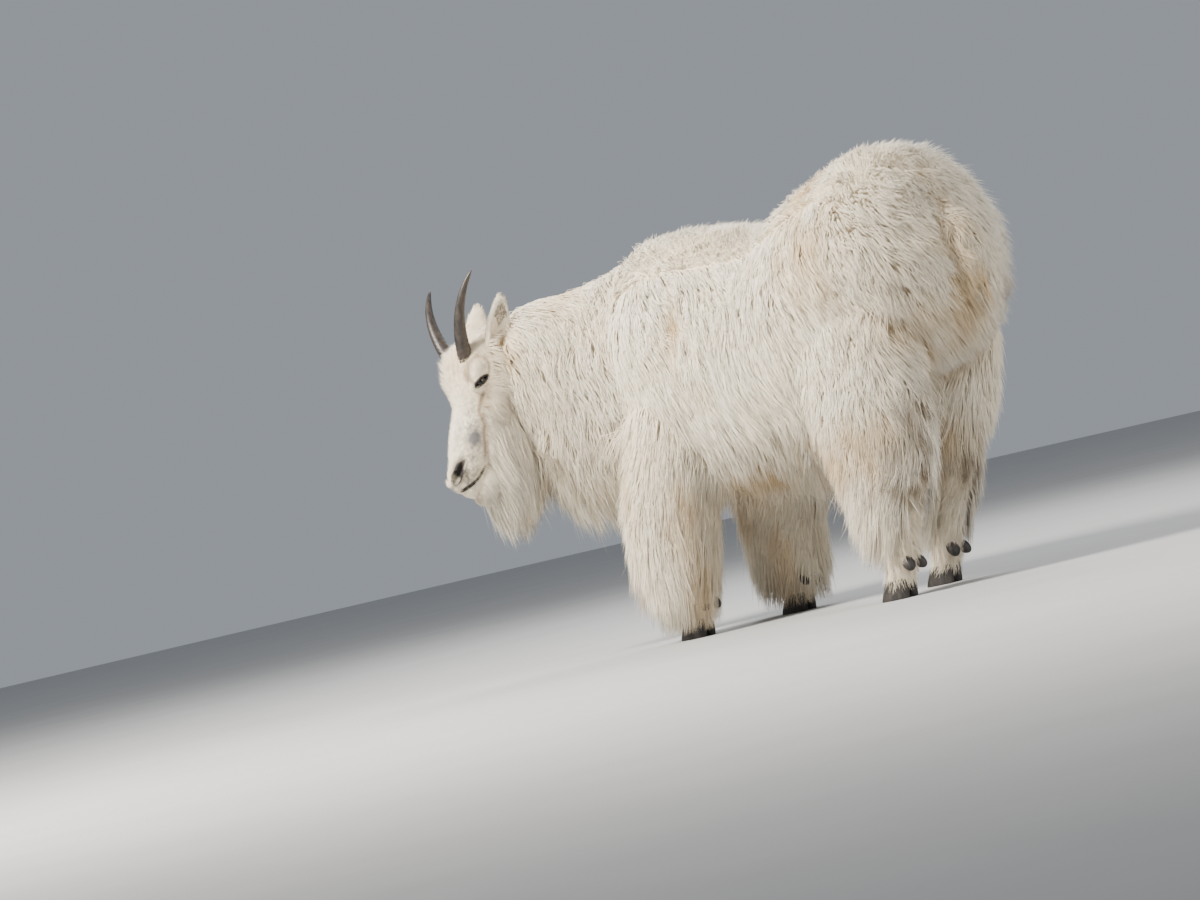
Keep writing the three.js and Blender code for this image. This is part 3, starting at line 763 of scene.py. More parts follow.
@dataclass
class Skin:
    """The goat's one skin, from its nose to its fetlocks.

    Attributes:
        body_grain: The size of the body's faces, in metres.
        head_grain: The size of the head's faces, in metres.
        short_coat: How deep the short hair of the face and shanks is, in metres.
    """

    body_grain: float = 0.0085
    head_grain: float = 0.0026
    short_coat: float = 0.003
    limbs: list[Limb] = field(default_factory=list)

    def __post_init__(self) -> None:
        """Lists the limbs that the skin is shaped from."""
        self.limbs = [torso_limb(), neck_limb(), tail_limb(), beard_limb(), skull_limb()]
        self.limbs += [ear_limb(side) for side in Side]
        for foot in FEET:
            self.limbs += leg_limbs(foot)

    def limb(self, name: str) -> Limb:
        """One of the limbs, by its name."""
        return next(limb for limb in self.limbs if limb.name == name)

    def body(self) -> bpy.types.Object:
        """Shapes the trunk, neck, tail and legs."""
        balls = []
        for limb in self.limbs:
            if limb.name == "skull" or limb.name.startswith("ear"):
                continue
            balls += ball_chain(limb)
        body = join_all(balls, "skin")
        modify(body, "REMESH", mode="VOXEL", voxel_size=self.body_grain)
        modify(body, "SMOOTH", factor=0.6, iterations=6)
        return body

    def ear(self, side: Side) -> bpy.types.Object:
        """Shapes one ear, a leaf with a hollow cup."""
        limb = ear_limb(side)
        leaf = join_all(ball_chain(limb), "ear")
        modify(leaf, "REMESH", mode="VOXEL", voxel_size=0.0018)
        modify(leaf, "SMOOTH", factor=0.5, iterations=4)
        cup = join_all(ball_chain(limb, thinner=0.0055), "cup")
        opening = Vector(HEAD.way(0.1, side.value * 0.9, -0.2))
        cup.data.transform(Matrix.Translation(opening * 0.009))
        cup.data.transform(Matrix.Translation(Vector(HEAD.way(-1, 0, 0)) * 0.006))
        modify(cup, "REMESH", mode="VOXEL", voxel_size=0.0018)
        cut_with(leaf, cup)
        return leaf

    def face_lumps(self) -> list[bpy.types.Object]:
        """Adds what stands out from the skull: bridge, nose, lips, chin, cheeks, brows and lids."""
        lumps = [
            add_head_ball((-8, 0, 34), (44, 40, 27)),
            add_head_ball((105, 0, 10), (100, 20, 17), (0, 0.07, 0)),
            add_head_ball((212, 0, -14), (28, 33, 25)),
            add_head_ball((236, 0, -6), (13, 20, 15)),
            add_head_ball((236, 0, -46), (22, 22, 19), (0, 0.5, 0)),
            add_head_ball((196, 0, -66), (62, 24, 27), (0, -0.12, 0)),
            add_head_ball((112, 0, -72), (90, 32, 32), (0, -0.04, 0)),
        ]
        for side in Side:
            s = side.value
            lumps += [
                add_head_ball((-24, s * 54, 17), (32, 22, 23), (0, 0, s * 0.2)),
                add_head_ball((-7, s * 58, 11), (22, 13, 9), (0, -0.6, 0)),
                add_head_ball((1, s * 52, 2), (27, 21, 19), (0, -0.6, 0)),
                add_head_ball((46, s * 40, -22), (52, 14, 12), (0, 0.12, s * -0.16)),
                add_head_ball((-30, s * 44, -52), (46, 27, 40)),
                add_head_ball((216, s * 21, -17), (24, 13, 14), (0, -0.3, s * -0.2)),
            ]
            lumps += self.lids(side)
        return lumps

    def lids(self, side: Side) -> list[bpy.types.Object]:
        """Adds the thick edges of the lids and the folds round them."""
        folds = []
        for major, minor, lift, squash in ((21.5, 3.4, 17, 0.46), (30, 3.0, 13, 0.62)):
            deselect_all()
            turn = HEAD.axes @ np.array(Euler((0, -0.6, 0)).to_matrix())
            plane = turn @ np.array(Euler((math.radians(90), 0, 0)).to_matrix())
            bpy.ops.mesh.primitive_torus_add(
                major_segments=48,
                minor_segments=14,
                major_radius=major * MM,
                minor_radius=minor * MM,
                location=HEAD.point(1, side.value * (52 + lift), 2),
                rotation=Matrix(plane.tolist()).to_euler(),
            )
            fold = bpy.context.object
            fold.scale = (1, squash, 1.2)
            folds.append(fold)
        return folds

    def face_cuts(self, head: bpy.types.Object) -> None:
        """Cuts the openings between the lids, the room for the eyes, the nostrils and the mouth."""
        for side in Side:
            s = side.value
            cuts = (
                ((1, s * 70, 1), (19, 14, 4.2), (0, -0.6, 0)),
                ((0, s * 56, 0), (17.3, 17.3, 17.3), (0, 0, 0)),
                ((224, s * 20, -3), (18, 14, 12), (0, 0, s * -0.4)),
                ((201, s * 29, -8), (20, 12, 9), (0, -0.2, s * -0.2)),
            )
            for centre, radii, turn in cuts:
                cut_with(head, add_head_ball(centre, radii, turn, 40, 24))
        shares = np.linspace(0, 1, 7)
        ways = HEAD.mouth(shares + 0.03) - HEAD.mouth(shares - 0.03)
        for (ahead, left, up), way in zip(HEAD.mouth(shares), ways):
            turn = (0, math.atan2(way[2], -way[0]), 0)
            for side in Side:
                cut_with(head, add_head_ball((ahead, side.value * left, up), (10, 11, 2.3), turn, 24, 16))
        cut_with(head, add_head_ball((247, 0, -17), (7, 1.6, 13), (0, 0.2, 0), 24, 16))

    def head(self) -> bpy.types.Object:
        """Shapes the head with its ears."""
        balls = ball_chain(self.limb("skull"), thinner=self.short_coat)
        balls += self.face_lumps()
        head = join_all(balls, "head_skin")
        modify(head, "REMESH", mode="VOXEL", voxel_size=self.head_grain)
        modify(head, "SMOOTH", factor=0.5, iterations=5)
        for side in Side:
            cut_with(head, self.ear(side), "UNION")
        modify(head, "REMESH", mode="VOXEL", voxel_size=self.head_grain)
        self.face_cuts(head)
        return head

    def build(self) -> bpy.types.Object:
        """Shapes the whole skin as one closed mesh, in the goat's axes."""
        body = self.body()
        cut_with(body, self.head(), "UNION")
        body.name = "skin"
        only(body)
        bpy.ops.object.shade_smooth()
        return body

    def tips(self) -> bpy.types.Object:
        """Shapes the outline of the coat's tips, which only measures the coat and is removed again."""
        balls = []
        for limb in self.limbs:
            if limb.tip_girth:
                balls += ball_chain(limb, share=1.0)
        outline = join_all(balls, "outline")
        modify(outline, "REMESH", mode="VOXEL", voxel_size=0.012)
        modify(outline, "SMOOTH", factor=0.6, iterations=6)
        return outline


@dataclass(frozen=True)
class Pelt:
    """How the hair of one zone grows. Sizes are in millimetres.

    Attributes:
        count: How many strands.
        width: Half the width of a strand.
        sweep: How far the hair runs on along its lie.
        along: The share of its lie that follows the limb's line.
        down: The share of its lie that hangs down.
        back: The share of its lie that points to the tail.
        depth: How far the tips stand off the skin, or None to reach the coat's outline.
        lock: The distance between locks.
        wisp: The distance between wisps, which are a lock's parts.
        stray: How far strands leave their lie, in radians.
        rows: How many rows of points a strand has below its tip.
    """

    count: int
    width: float
    sweep: float
    along: float
    down: float
    back: float = 0.0
    depth: float | None = None
    lock: float = 60.0
    wisp: float = 15.0
    stray: float = 0.16
    rows: int = 2


FLANK = Pelt(count=15000, width=0.95, sweep=74, along=-0.45, down=1.0)
CHAPS = Pelt(count=9300, width=0.95, sweep=66, along=0.9, down=0.6, back=-0.05, stray=0.2)
SHORT = Pelt(count=0, width=0.5, sweep=0, along=0, down=0, lock=20, wisp=6, rows=1)
PELTS = {
    Zone.BACK: replace(FLANK, count=11500, width=0.85, sweep=50, stray=0.24),
    Zone.RUMP: replace(FLANK, count=18500, width=0.9, sweep=54, stray=0.26),
    Zone.FLANK_LEFT: FLANK,
    Zone.FLANK_RIGHT: replace(FLANK, count=12500),
    Zone.BELLY: replace(FLANK, count=7500, sweep=56),
    Zone.NECK: Pelt(count=15000, width=0.9, sweep=72, along=-0.5, down=1.0, stray=0.2),
    Zone.TAIL: Pelt(count=2600, width=0.8, sweep=52, along=1.0, down=0.3, lock=22),
    Zone.BEARD: Pelt(count=5500, width=0.75, sweep=46, along=0.3, down=1.0, lock=34, wisp=11),
    Zone.CHEEKS: Pelt(
        count=8500, width=0.65, sweep=30, along=0, down=1.0, depth=12, lock=26, wisp=9, stray=0.24
    ),
    Zone.FACE: replace(SHORT, count=15000, width=0.42, sweep=12, along=-1.0, down=0.1, depth=4.5, stray=0.4),
    Zone.EARS: replace(SHORT, count=5000, sweep=11, along=1.0, down=0.0, depth=4.0),
    Zone.FORE_LEFT: CHAPS,
    Zone.FORE_RIGHT: CHAPS,
    Zone.HIND_LEFT: replace(CHAPS, count=10500, stray=0.26),
    Zone.HIND_RIGHT: replace(CHAPS, count=10000),
    Zone.SHANKS: replace(SHORT, count=9500, width=0.9, sweep=34, along=1.0, down=0.2, depth=13.0, stray=0.3),
}
STRAND_ROWS = {1: (0.0,), 2: (0.0, 0.5)}
STRAND_SWELL = {1: (1.0,), 2: (0.8, 1.0)}
GUARD_SHARE = 0.1  # the share of strands that stand out above the rest
HALO_SHARE = 0.18  # the same on the back and rump
TIP_CLEARANCE = 0.012  # the least height of a tip above the floor, in metres
ROOT_DEPTH = 0.003  # how deep a root sits in the skin, in metres


@dataclass
class Roots:
    """Where strands start: places on the skin with their ways out and their places on the limbs."""

    place: np.ndarray
    out: np.ndarray
    limb: np.ndarray
    t: np.ndarray
    angle: np.ndarray

    def __len__(self) -> int:
        """How many roots there are."""
        return len(self.place)

    def taken(self, keep: np.ndarray) -> Roots:
        """Some of the roots, by index or by a mask."""
        return Roots(self.place[keep], self.out[keep], self.limb[keep], self.t[keep], self.angle[keep])


class Coat:
    """The long and short hair, as thin solid strands in locks over the skin."""

    def __init__(
        self, skin: Skin, mesh: bpy.types.Mesh, outline: bpy.types.Object, markings: Markings
    ) -> None:
        """Reads the skin's mesh.

        Args:
            skin: The skin's sizes.
            mesh: The skin's mesh in the goat's axes.
            outline: The form that the tips of the long hair reach.
            markings: The colours.
        """
        self.skin = skin
        self.markings = markings
        self.random = np.random.default_rng(SEED)
        self.outline = BVHTree.FromObject(outline, bpy.context.evaluated_depsgraph_get())
        mesh.calc_loop_triangles()
        corners = np.empty(len(mesh.loop_triangles) * 3, np.int32)
        mesh.loop_triangles.foreach_get("vertices", corners)
        places = np.empty(len(mesh.vertices) * 3)
        mesh.vertices.foreach_get("co", places)
        normals = np.empty(len(mesh.vertices) * 3)
        mesh.vertex_normals.foreach_get("vector", normals)
        self.corners = corners.reshape(-1, 3)
        self.places = places.reshape(-1, 3)
        self.normals = normals.reshape(-1, 3)
        a, b, c = (self.places[self.corners[:, i]] for i in range(3))
        self.area = np.linalg.norm(np.cross(b - a, c - a), axis=1) / 2
        self.middles = self.sort_out((a + b + c) / 3, self.normals[self.corners].mean(1))
        self.zones = self.zone_of(self.middles)

    def sort_out(self, places: np.ndarray, out: np.ndarray) -> Roots:
        """Finds which limb each place is on, and where on it."""
        best = np.full(len(places), np.inf)
        limb = np.zeros(len(places), int)
        t, angle = np.zeros(len(places)), np.zeros(len(places))
        for index, each in enumerate(self.skin.limbs):
            share, turn, far = each.locate(places)
            nearer = far < best
            best = np.where(nearer, far, best)
            limb[nearer], t[nearer], angle[nearer] = index, share[nearer], turn[nearer]
        return Roots(places, unit(out), limb, t, angle)

    def zone_of(self, roots: Roots) -> np.ndarray:
        """Names the zone of each root."""
        names = np.array([limb.name for limb in self.skin.limbs])[roots.limb]
        zone = np.full(len(roots), Zone.FACE, dtype=object)
        simple = {
            "neck": Zone.NECK,
            "tail": Zone.TAIL,
            "beard": Zone.BEARD,
            "ear_left": Zone.EARS,
            "ear_right": Zone.EARS,
            "fore_left_upper": Zone.FORE_LEFT,
            "fore_right_upper": Zone.FORE_RIGHT,
            "hind_left_upper": Zone.HIND_LEFT,
            "hind_right_upper": Zone.HIND_RIGHT,
        }
        for name, each in simple.items():
            zone[names == name] = each
        zone[np.char.endswith(names.astype(str), "_lower")] = Zone.SHANKS
        torso = names == "torso"
        degrees = np.degrees(roots.angle)
        left = roots.place[:, 1] > 0
        zone[torso & left] = Zone.FLANK_LEFT
        zone[torso & ~left] = Zone.FLANK_RIGHT
        zone[torso & (degrees > 52) & (degrees < 128)] = Zone.BACK
        zone[torso & (degrees < -38) & (degrees > -142)] = Zone.BELLY
        zone[torso & (roots.t < 0.3) & (degrees > -70)] = Zone.RUMP
        zone[torso & (roots.t < 0.3) & (degrees < -110)] = Zone.RUMP
        zone[(zone == Zone.FACE) & (HEAD.long_hair(roots.place) > 0.3)] = Zone.CHEEKS
        return zone

    def bare(self, roots: Roots) -> np.ndarray:
        """Marks roots where no hair grows: eyes, nostrils, mouth and the cups of the ears."""
        local = HEAD.local(roots.place)
        local[:, 1] = np.abs(local[:, 1])
        slant = np.array(Euler((0, -0.6, 0)).to_matrix())
        eye = np.linalg.norm((local - np.array([1, 68, 2])) @ slant / np.array([25, 20, 13]), axis=1) < 1
        nose = np.linalg.norm((local - np.array([214, 20, -6])) / np.array([29, 14, 13]), axis=1) < 1
        split = np.linalg.norm((local - np.array([247, 0, -16])) / np.array([9, 6, 14]), axis=1) < 1
        return eye | nose | split | (HEAD.from_mouth(roots.place) < 5)

    def sample(self, zone: Zone, count: int) -> Roots:
        """Scatters roots evenly over a zone.

        Args:
            zone: The zone.
            count: How many roots.

        Returns:
            The roots, without those in bare places.
        """
        there = np.flatnonzero(self.zones == zone)
        weight = self.area[there] / self.area[there].sum()
        pick = there[self.random.choice(len(there), count, p=weight)]
        a, b = self.random.random((2, count, 1))
        flip = a + b > 1
        a, b = np.where(flip, 1 - a, a), np.where(flip, 1 - b, b)
        corner = self.corners[pick]
        shares = (1 - a - b, a, b)
        place = sum(self.places[corner[:, i]] * shares[i] for i in range(3))
        out = sum(self.normals[corner[:, i]] * shares[i] for i in range(3))
        roots = self.sort_out(place, out)
        roots.limb = self.middles.limb[pick]
        return roots.taken(~self.bare(roots))

    def depths(self, roots: Roots, pelt: Pelt) -> np.ndarray:
        """How far the tips stand off the skin at each root, in metres."""
        if pelt.depth is not None:
            return np.full(len(roots), pelt.depth * MM)
        deepest, least = 0.15, 0.022
        starts = roots.place + self.shifts(roots) * 0.9
        found = np.full(len(roots), 0.03)
        for index, (start, out) in enumerate(zip(starts, roots.out)):
            distance = self.outline.ray_cast(Vector(start), Vector(out), deepest)[3]
            if distance is not None:
                found[index] = distance
        return np.clip(found, least, deepest)

    def fullness(self, roots: Roots) -> np.ndarray:
        """How much the coat swells and sinks from place to place, with a hollow round the tail."""
        hollow = self.markings.near(roots.place, (-0.49, 0.045, 0.72), (0.08, 0.03, 0.12))
        hollow += self.markings.near(roots.place, (-0.49, -0.045, 0.72), (0.08, 0.03, 0.12))
        return (1 + swelling(roots.place)) * (1 - 0.6 * np.clip(hollow, 0, 1))

    def cheek_lie(self, roots: Roots) -> np.ndarray:
        """The way the cheeks' hair lies: back from the eye at first, and then down into the beard."""
        local = HEAD.local(roots.place)
        drop = np.clip((HEAD.crease(local[:, 0]) - local[:, 2] - 8) / 90, 0.0, 1)[:, None]
        lie = -HEAD.axes[:, 2] * (1.1 - drop) + DOWN * (0.2 + drop)
        lie = lie - roots.out * (lie * roots.out).sum(1, keepdims=True) * 0.9
        return unit(lie)

    def shifts(self, roots: Roots) -> np.ndarray:
        """How far the limb's line moves from skin to tips at each root."""
        moved = np.zeros((len(roots), 3))
        for index, limb in enumerate(self.skin.limbs):
            there = roots.limb == index
            if limb.tip_line and there.any():
                moved[there] = limb.shift(roots.t[there])
        inward = np.minimum((moved * roots.out).sum(1), 0)
        return moved - roots.out * inward[:, None]

    def lies(self, roots: Roots, pelt: Pelt) -> np.ndarray:
        """The way the hair lies along the skin at each root."""
        ahead = np.zeros((len(roots), 3))
        for index, limb in enumerate(self.skin.limbs):
            there = roots.limb == index
            if there.any():
                ahead[there] = limb.frame(roots.t[there])[1]
        lie = pelt.along * ahead + pelt.down * DOWN + pelt.back * np.array([-1.0, 0, 0])
        flat = 0.92 * (np.clip(1 + 1.5 * roots.out[:, 2:], 0, 1) if pelt.down > 0.5 else 1.0)
        lie = lie - roots.out * (lie * roots.out).sum(1, keepdims=True) * flat
        return unit(lie)

    @staticmethod
    def turned(lie: np.ndarray, out: np.ndarray, angle: np.ndarray) -> np.ndarray:
        """Turns lies about the ways out by angles in radians."""
        across = np.cross(out, lie)
        return lie * np.cos(angle)[:, None] + across * np.sin(angle)[:, None]

    def groups(self, roots: Roots, spacing: float) -> np.ndarray:
        """Gathers roots into locks.

        Args:
            roots: The roots.
            spacing: The distance between locks, in millimetres.

        Returns:
            For each root, the index of the root at the middle of its lock.
        """
        room = (spacing * MM) ** 2
        area = self.area[self.zones == self.current].sum()
        count = int(np.clip(area / room, 4, len(roots)))
        centres = self.random.choice(len(roots), count, replace=False)
        tree = KDTree(count)
        for index in centres:
            tree.insert(Vector(roots.place[index]), int(index))
        tree.balance()
        return np.array([tree.find(Vector(place))[1] for place in roots.place])

    def grow(self, zone: Zone, pelt: Pelt, thin: float) -> tuple[Roots, dict[str, np.ndarray]]:
        """Grows one zone's strands.

        Args:
            zone: The zone.
            pelt: How its hair grows.
            thin: The share of the strands that is made.

        Returns:
            The roots, and the strands' controls, tips, widths and lock numbers.
        """
        self.current = zone
        roots = self.sample(zone, int(pelt.count * thin))
        lock = self.groups(roots, pelt.lock)
        wisp = self.groups(roots, pelt.wisp)
        count = len(roots)
        draw = self.random.normal
        depth, sweep = self.depths(roots, pelt), np.full(count, pelt.sweep * MM)
        if zone in (Zone.FACE, Zone.CHEEKS):
            long_hair = HEAD.long_hair(roots.place)
            local = HEAD.local(roots.place)
            crown = self.markings.near(local, (-14, 0, 58), (52, 46, 28))
            jaw = np.clip((-local[:, 2] - 55) / 35, 0, 1)
            depth = depth + (19 * crown + 10 * long_hair) * MM
            sweep = sweep + (14 * crown + 14 * long_hair + 34 * jaw * long_hair) * MM
        lie = self.cheek_lie(roots) if zone in (Zone.CHEEKS, Zone.BEARD) else self.lies(roots, pelt)
        if zone in (Zone.BACK, Zone.RUMP):
            sweep = sweep * (1 - 0.7 * np.clip((roots.out[:, 2] - 0.4) / 0.4, 0, 1))
        if zone in (Zone.FLANK_LEFT, Zone.FLANK_RIGHT, Zone.BELLY):
            under = np.clip(-roots.out[:, 2], 0, 1)
            sweep = sweep * (1 + 2.4 * under * (0.75 - under))
        wave = 0.45 * smooth_noise(roots.place, 0.13, 11) + 0.38 * smooth_noise(roots.place, 0.045, 12)
        wave = wave + draw(0, pelt.stray, count)[wisp] + draw(0, pelt.stray * 0.8, count)
        lie = self.turned(lie, roots.out, wave)
        fullness = 1 + draw(0, 0.05, count)[lock] + draw(0, 0.06, count)[wisp]
        reach = np.clip(fullness, 0.75, 1.15) * (1.06 - 0.42 * self.random.random(count) ** 2)
        lift = 1.0 - 0.32 * self.random.random(count) ** 1.5
        share = HALO_SHARE if zone in (Zone.BACK, Zone.RUMP) else GUARD_SHARE
        guard = self.random.random(count) < share
        lift = np.where(guard, 1.0 + 0.28 * self.random.random(count), lift)
        if pelt.depth is None:
            depth = depth * self.fullness(roots)
        rise = roots.out * (depth * lift * np.clip(fullness, 0.8, 1.1))[:, None]
        run = lie * (sweep * reach)[:, None]
        shift = self.shifts(roots) * reach[:, None]
        control = roots.place + rise * 0.95 + run * 0.15 + shift * 0.25
        tip = roots.place + rise * 0.96 + run + shift
        tip = tip + draw(0, 0.05, (count, 3)) * np.linalg.norm(tip - roots.place, axis=1)[:, None]
        for group, pull in ((wisp, 0.34), (lock, 0.16)):
            drawn = tip[group] + (roots.place - roots.place[group]) * 0.4
            tip = tip + (drawn - tip) * (pull * np.where(guard, 0.3, 1.0))[:, None]
        tip[:, 2] = np.maximum(tip[:, 2], TIP_CLEARANCE)
        width = pelt.width * MM * (0.75 + 0.5 * self.random.random(count)) * np.where(guard, 0.7, 1.0)
        return roots, {"control": control, "tip": tip, "width": width, "lock": lock, "wisp": wisp}

    def unwrap(self, roots: Roots) -> np.ndarray:
        """Each root's place on an unwrap of the skin, with one patch of the square for each limb."""
        across = 4
        cell = 1 / across
        column, row = roots.limb % across, roots.limb // across
        margin = 0.06
        u = (column + margin + (1 - 2 * margin) * roots.t) * cell
        v = (row + margin + (1 - 2 * margin) * (roots.angle / (2 * math.pi) + 0.5)) * cell
        return np.stack([u, v], axis=1)

    def piece(self, zone: Zone, thin: float) -> bpy.types.Object:
        """Makes one zone's hair.

        Args:
            zone: The zone.
            thin: The share of the strands that is made.

        Returns:
            The new object, in the goat's axes.
        """
        pelt = PELTS[zone]
        roots, strands = self.grow(zone, pelt, thin)
        levels = np.array(STRAND_ROWS[pelt.rows])
        swell = np.array(STRAND_SWELL[pelt.rows])
        count, per = len(roots), pelt.rows * 3 + 1
        points, normals = np.empty((count, per, 3)), np.empty((count, per, 3))
        sunk = roots.place - roots.out * ROOT_DEPTH
        control, tip = strands["control"], strands["tip"]
        soft = 0.6
        for row, s in enumerate(levels):
            centre = (1 - s) ** 2 * sunk + 2 * s * (1 - s) * control + s**2 * tip
            ahead = unit((1 - s) * (control - sunk) + s * (tip - control) + 1e-6)
            across = unit(np.cross(ahead, roots.out))
            rise = np.cross(across, ahead)
            half = (strands["width"] * swell[row])[:, None]
            for side, (wide, high) in enumerate(((1, -0.5), (-1, -0.5), (0, 1))):
                outwards = across * wide + rise * high
                points[:, row * 3 + side] = centre + outwards * half
                normals[:, row * 3 + side] = unit(unit(outwards) * (1 - soft) + roots.out * soft)
        points[:, per - 1] = tip
        normals[:, per - 1] = roots.out
        faces = self.strand_faces(pelt.rows)
        corners = (faces[None] + np.arange(count)[:, None, None] * per).reshape(-1)
        levels = np.append(np.repeat(levels, 3), 1.0)
        tint = self.tints(roots, strands, levels, zone)
        patch = 0.003
        sides = np.tile([0.0, 1.0, 0.5], pelt.rows)
        spot = np.stack([np.append(sides, 0.5), levels], axis=1) * patch
        uv = self.unwrap(roots)[:, None] + spot[None]
        places, outs = points.reshape(-1, 3), normals.reshape(-1, 3)
        return mesh_of(zone.value, places, outs, corners, tint.reshape(-1, 4), uv.reshape(-1, 2))

    @staticmethod
    def strand_faces(rows: int) -> np.ndarray:
        """The triangles of one strand: a closed spike of three sides."""
        faces = [(0, 2, 1)]
        for row in range(rows - 1):
            for side in range(3):
                a, b = row * 3 + side, row * 3 + (side + 1) % 3
                faces += [(a, b, a + 3), (b, b + 3, a + 3)]
        last, tip = (rows - 1) * 3, rows * 3
        faces += [(last + side, last + (side + 1) % 3, tip) for side in range(3)]
        return np.array(faces)

    def tints(
        self, roots: Roots, strands: dict[str, np.ndarray], levels: np.ndarray, zone: Zone
    ) -> np.ndarray:
        """The colour of every point of every strand, with pale tips and darker, warmer roots: the hair's
        warmer tone at the skin together with painted shade in the depth of the coat.
        """
        base = self.markings.coat(roots.place)
        if zone in (Zone.FACE, Zone.CHEEKS, Zone.EARS):
            base = self.markings.face(roots.place, base)
        lock_tone = self.random.normal(0, 0.02, len(roots))[strands["lock"]]
        tone = 1 + lock_tone + self.random.normal(0, 0.03, len(roots))
        base = base * np.clip(tone, 0.7, 1.2)[:, None]
        # Roots darker and warmer: the hair's tone near the skin and painted shade in the coat's depth.
        root = base * np.array([0.97, 0.88, 0.73])
        tint = np.ones((len(roots), len(levels), 4))
        mixed = np.clip(levels * 1.6, 0, 1)[None, :, None]
        tint[..., :3] = np.clip(root[:, None] + (base - root)[:, None] * mixed, 0, 0.93)
        return tint


def mesh_of(
    name: str, points: np.ndarray, normals: np.ndarray, corners: np.ndarray, tint: np.ndarray, uv: np.ndarray
) -> bpy.types.Object:
    """Makes an object from arrays of triangles.

    Args:
        name: The object's name.
        points: Places, in rows.
        normals: The way each point's surface faces for shading.
        corners: The triangles' points, one after another.
        tint: A colour for each point.
        uv: A place on the unwrap for each point.

    Returns:
        The new object.
    """
    mesh = bpy.data.meshes.new(name)
    mesh.vertices.add(len(points))
    mesh.vertices.foreach_set("co", points.reshape(-1))
    mesh.loops.add(len(corners))
    mesh.loops.foreach_set("vertex_index", corners.astype(np.int32))
    mesh.polygons.add(len(corners) // 3)
    mesh.polygons.foreach_set("loop_start", np.arange(0, len(corners), 3, dtype=np.int32))
    mesh.polygons.foreach_set("use_smooth", np.ones(len(corners) // 3, bool))
    mesh.update(calc_edges=True)
    mesh.normals_split_custom_set_from_vertices(normals.tolist())
    mesh.attributes.new("tint", "FLOAT_COLOR", "POINT").data.foreach_set("color", tint.reshape(-1))
    mesh.uv_layers.new(name="OFBake").data.foreach_set("uv", uv[corners].reshape(-1))
    obj = bpy.data.objects.new(name, mesh)
    bpy.context.scene.collection.objects.link(obj)
    return obj


@dataclass(frozen=True)
class Horn:
    """One ringed, slim, backward-curved horn. Sizes are in millimetres.

    Attributes:
        arc: Its length along its curve.
        base: The radius at its base, beyond the point's.
        lean: The angle at which it leaves the head, in radians.
        curve: How far it bends back, in radians.
        splay: How far it leans out.
        rings: How many growth rings its lower part has.
    """

    arc: float = 236
    base: float = 17
    lean: float = 0.74
    curve: float = 0.95
    splay: float = 0.46
    rings: int = 13

    def build(self, side: Side) -> bpy.types.Object:
        """Shapes the horn from a sphere, row by row."""
        sides, rows = 36, 150
        deselect_all()
        bpy.ops.mesh.primitive_uv_sphere_add(segments=sides, ring_count=rows, radius=1)
        horn = bpy.context.object
        path, aims = self.path(side, rows)
        for vertex in horn.data.vertices:
            share = math.acos(max(-1.0, min(1.0, vertex.co.z))) / math.pi
            i = round(share * rows)
            aim = aims[i]
            up = np.cross(aim, HEAD.axes[:, 1])
            up = up / np.linalg.norm(up)
            angle = math.atan2(vertex.co.y, vertex.co.x)
            radius = self.radius(share, angle) * (0.0 if i in (0, rows) else 1.0)
            spot = path[i] + up * math.sin(angle) * radius * 1.05
            vertex.co = spot + HEAD.axes[:, 1] * math.cos(angle) * radius * 0.94
        only(horn)
        bpy.ops.object.mode_set(mode="EDIT")
        bpy.ops.mesh.select_all(action="SELECT")
        bpy.ops.mesh.normals_make_consistent(inside=False)
        bpy.ops.object.mode_set(mode="OBJECT")
        bpy.ops.object.shade_smooth()
        horn.name = f"horn_{side.word}_sheath"
        return horn

    def path(self, side: Side, rows: int) -> tuple[np.ndarray, np.ndarray]:
        """The centres and directions of the rows, in metres."""
        step = self.arc * MM / (rows - 2)
        place = np.array(HEAD.point(-34, side.value * 29, 26))
        path, aims = [place], []
        for i in range(rows + 1):
            angle = self.lean - self.curve * (min(1.0, i / rows)) ** 1.5
            aim = np.array(HEAD.way(-math.cos(angle), side.value * self.splay, math.sin(angle)))
            aims.append(aim)
            place = place + aim * step
            path.append(place)
        return np.array(path), np.array(aims)

    def radius(self, share: float, angle: float) -> float:
        """The radius at a share of the length, with rings that fade towards the point."""
        body = self.base * (1 - share) ** 0.6 + 1.6 * (1 - share) ** 0.3
        fade = max(0.0, 1 - share / 0.62)
        phase = share / 0.62 * self.rings + 0.08 * math.sin(angle * 2 + share * 30)
        ring = abs(math.sin(math.pi * phase)) ** 0.6
        return (body + fade * (ring * 1.5 - 0.7)) * MM


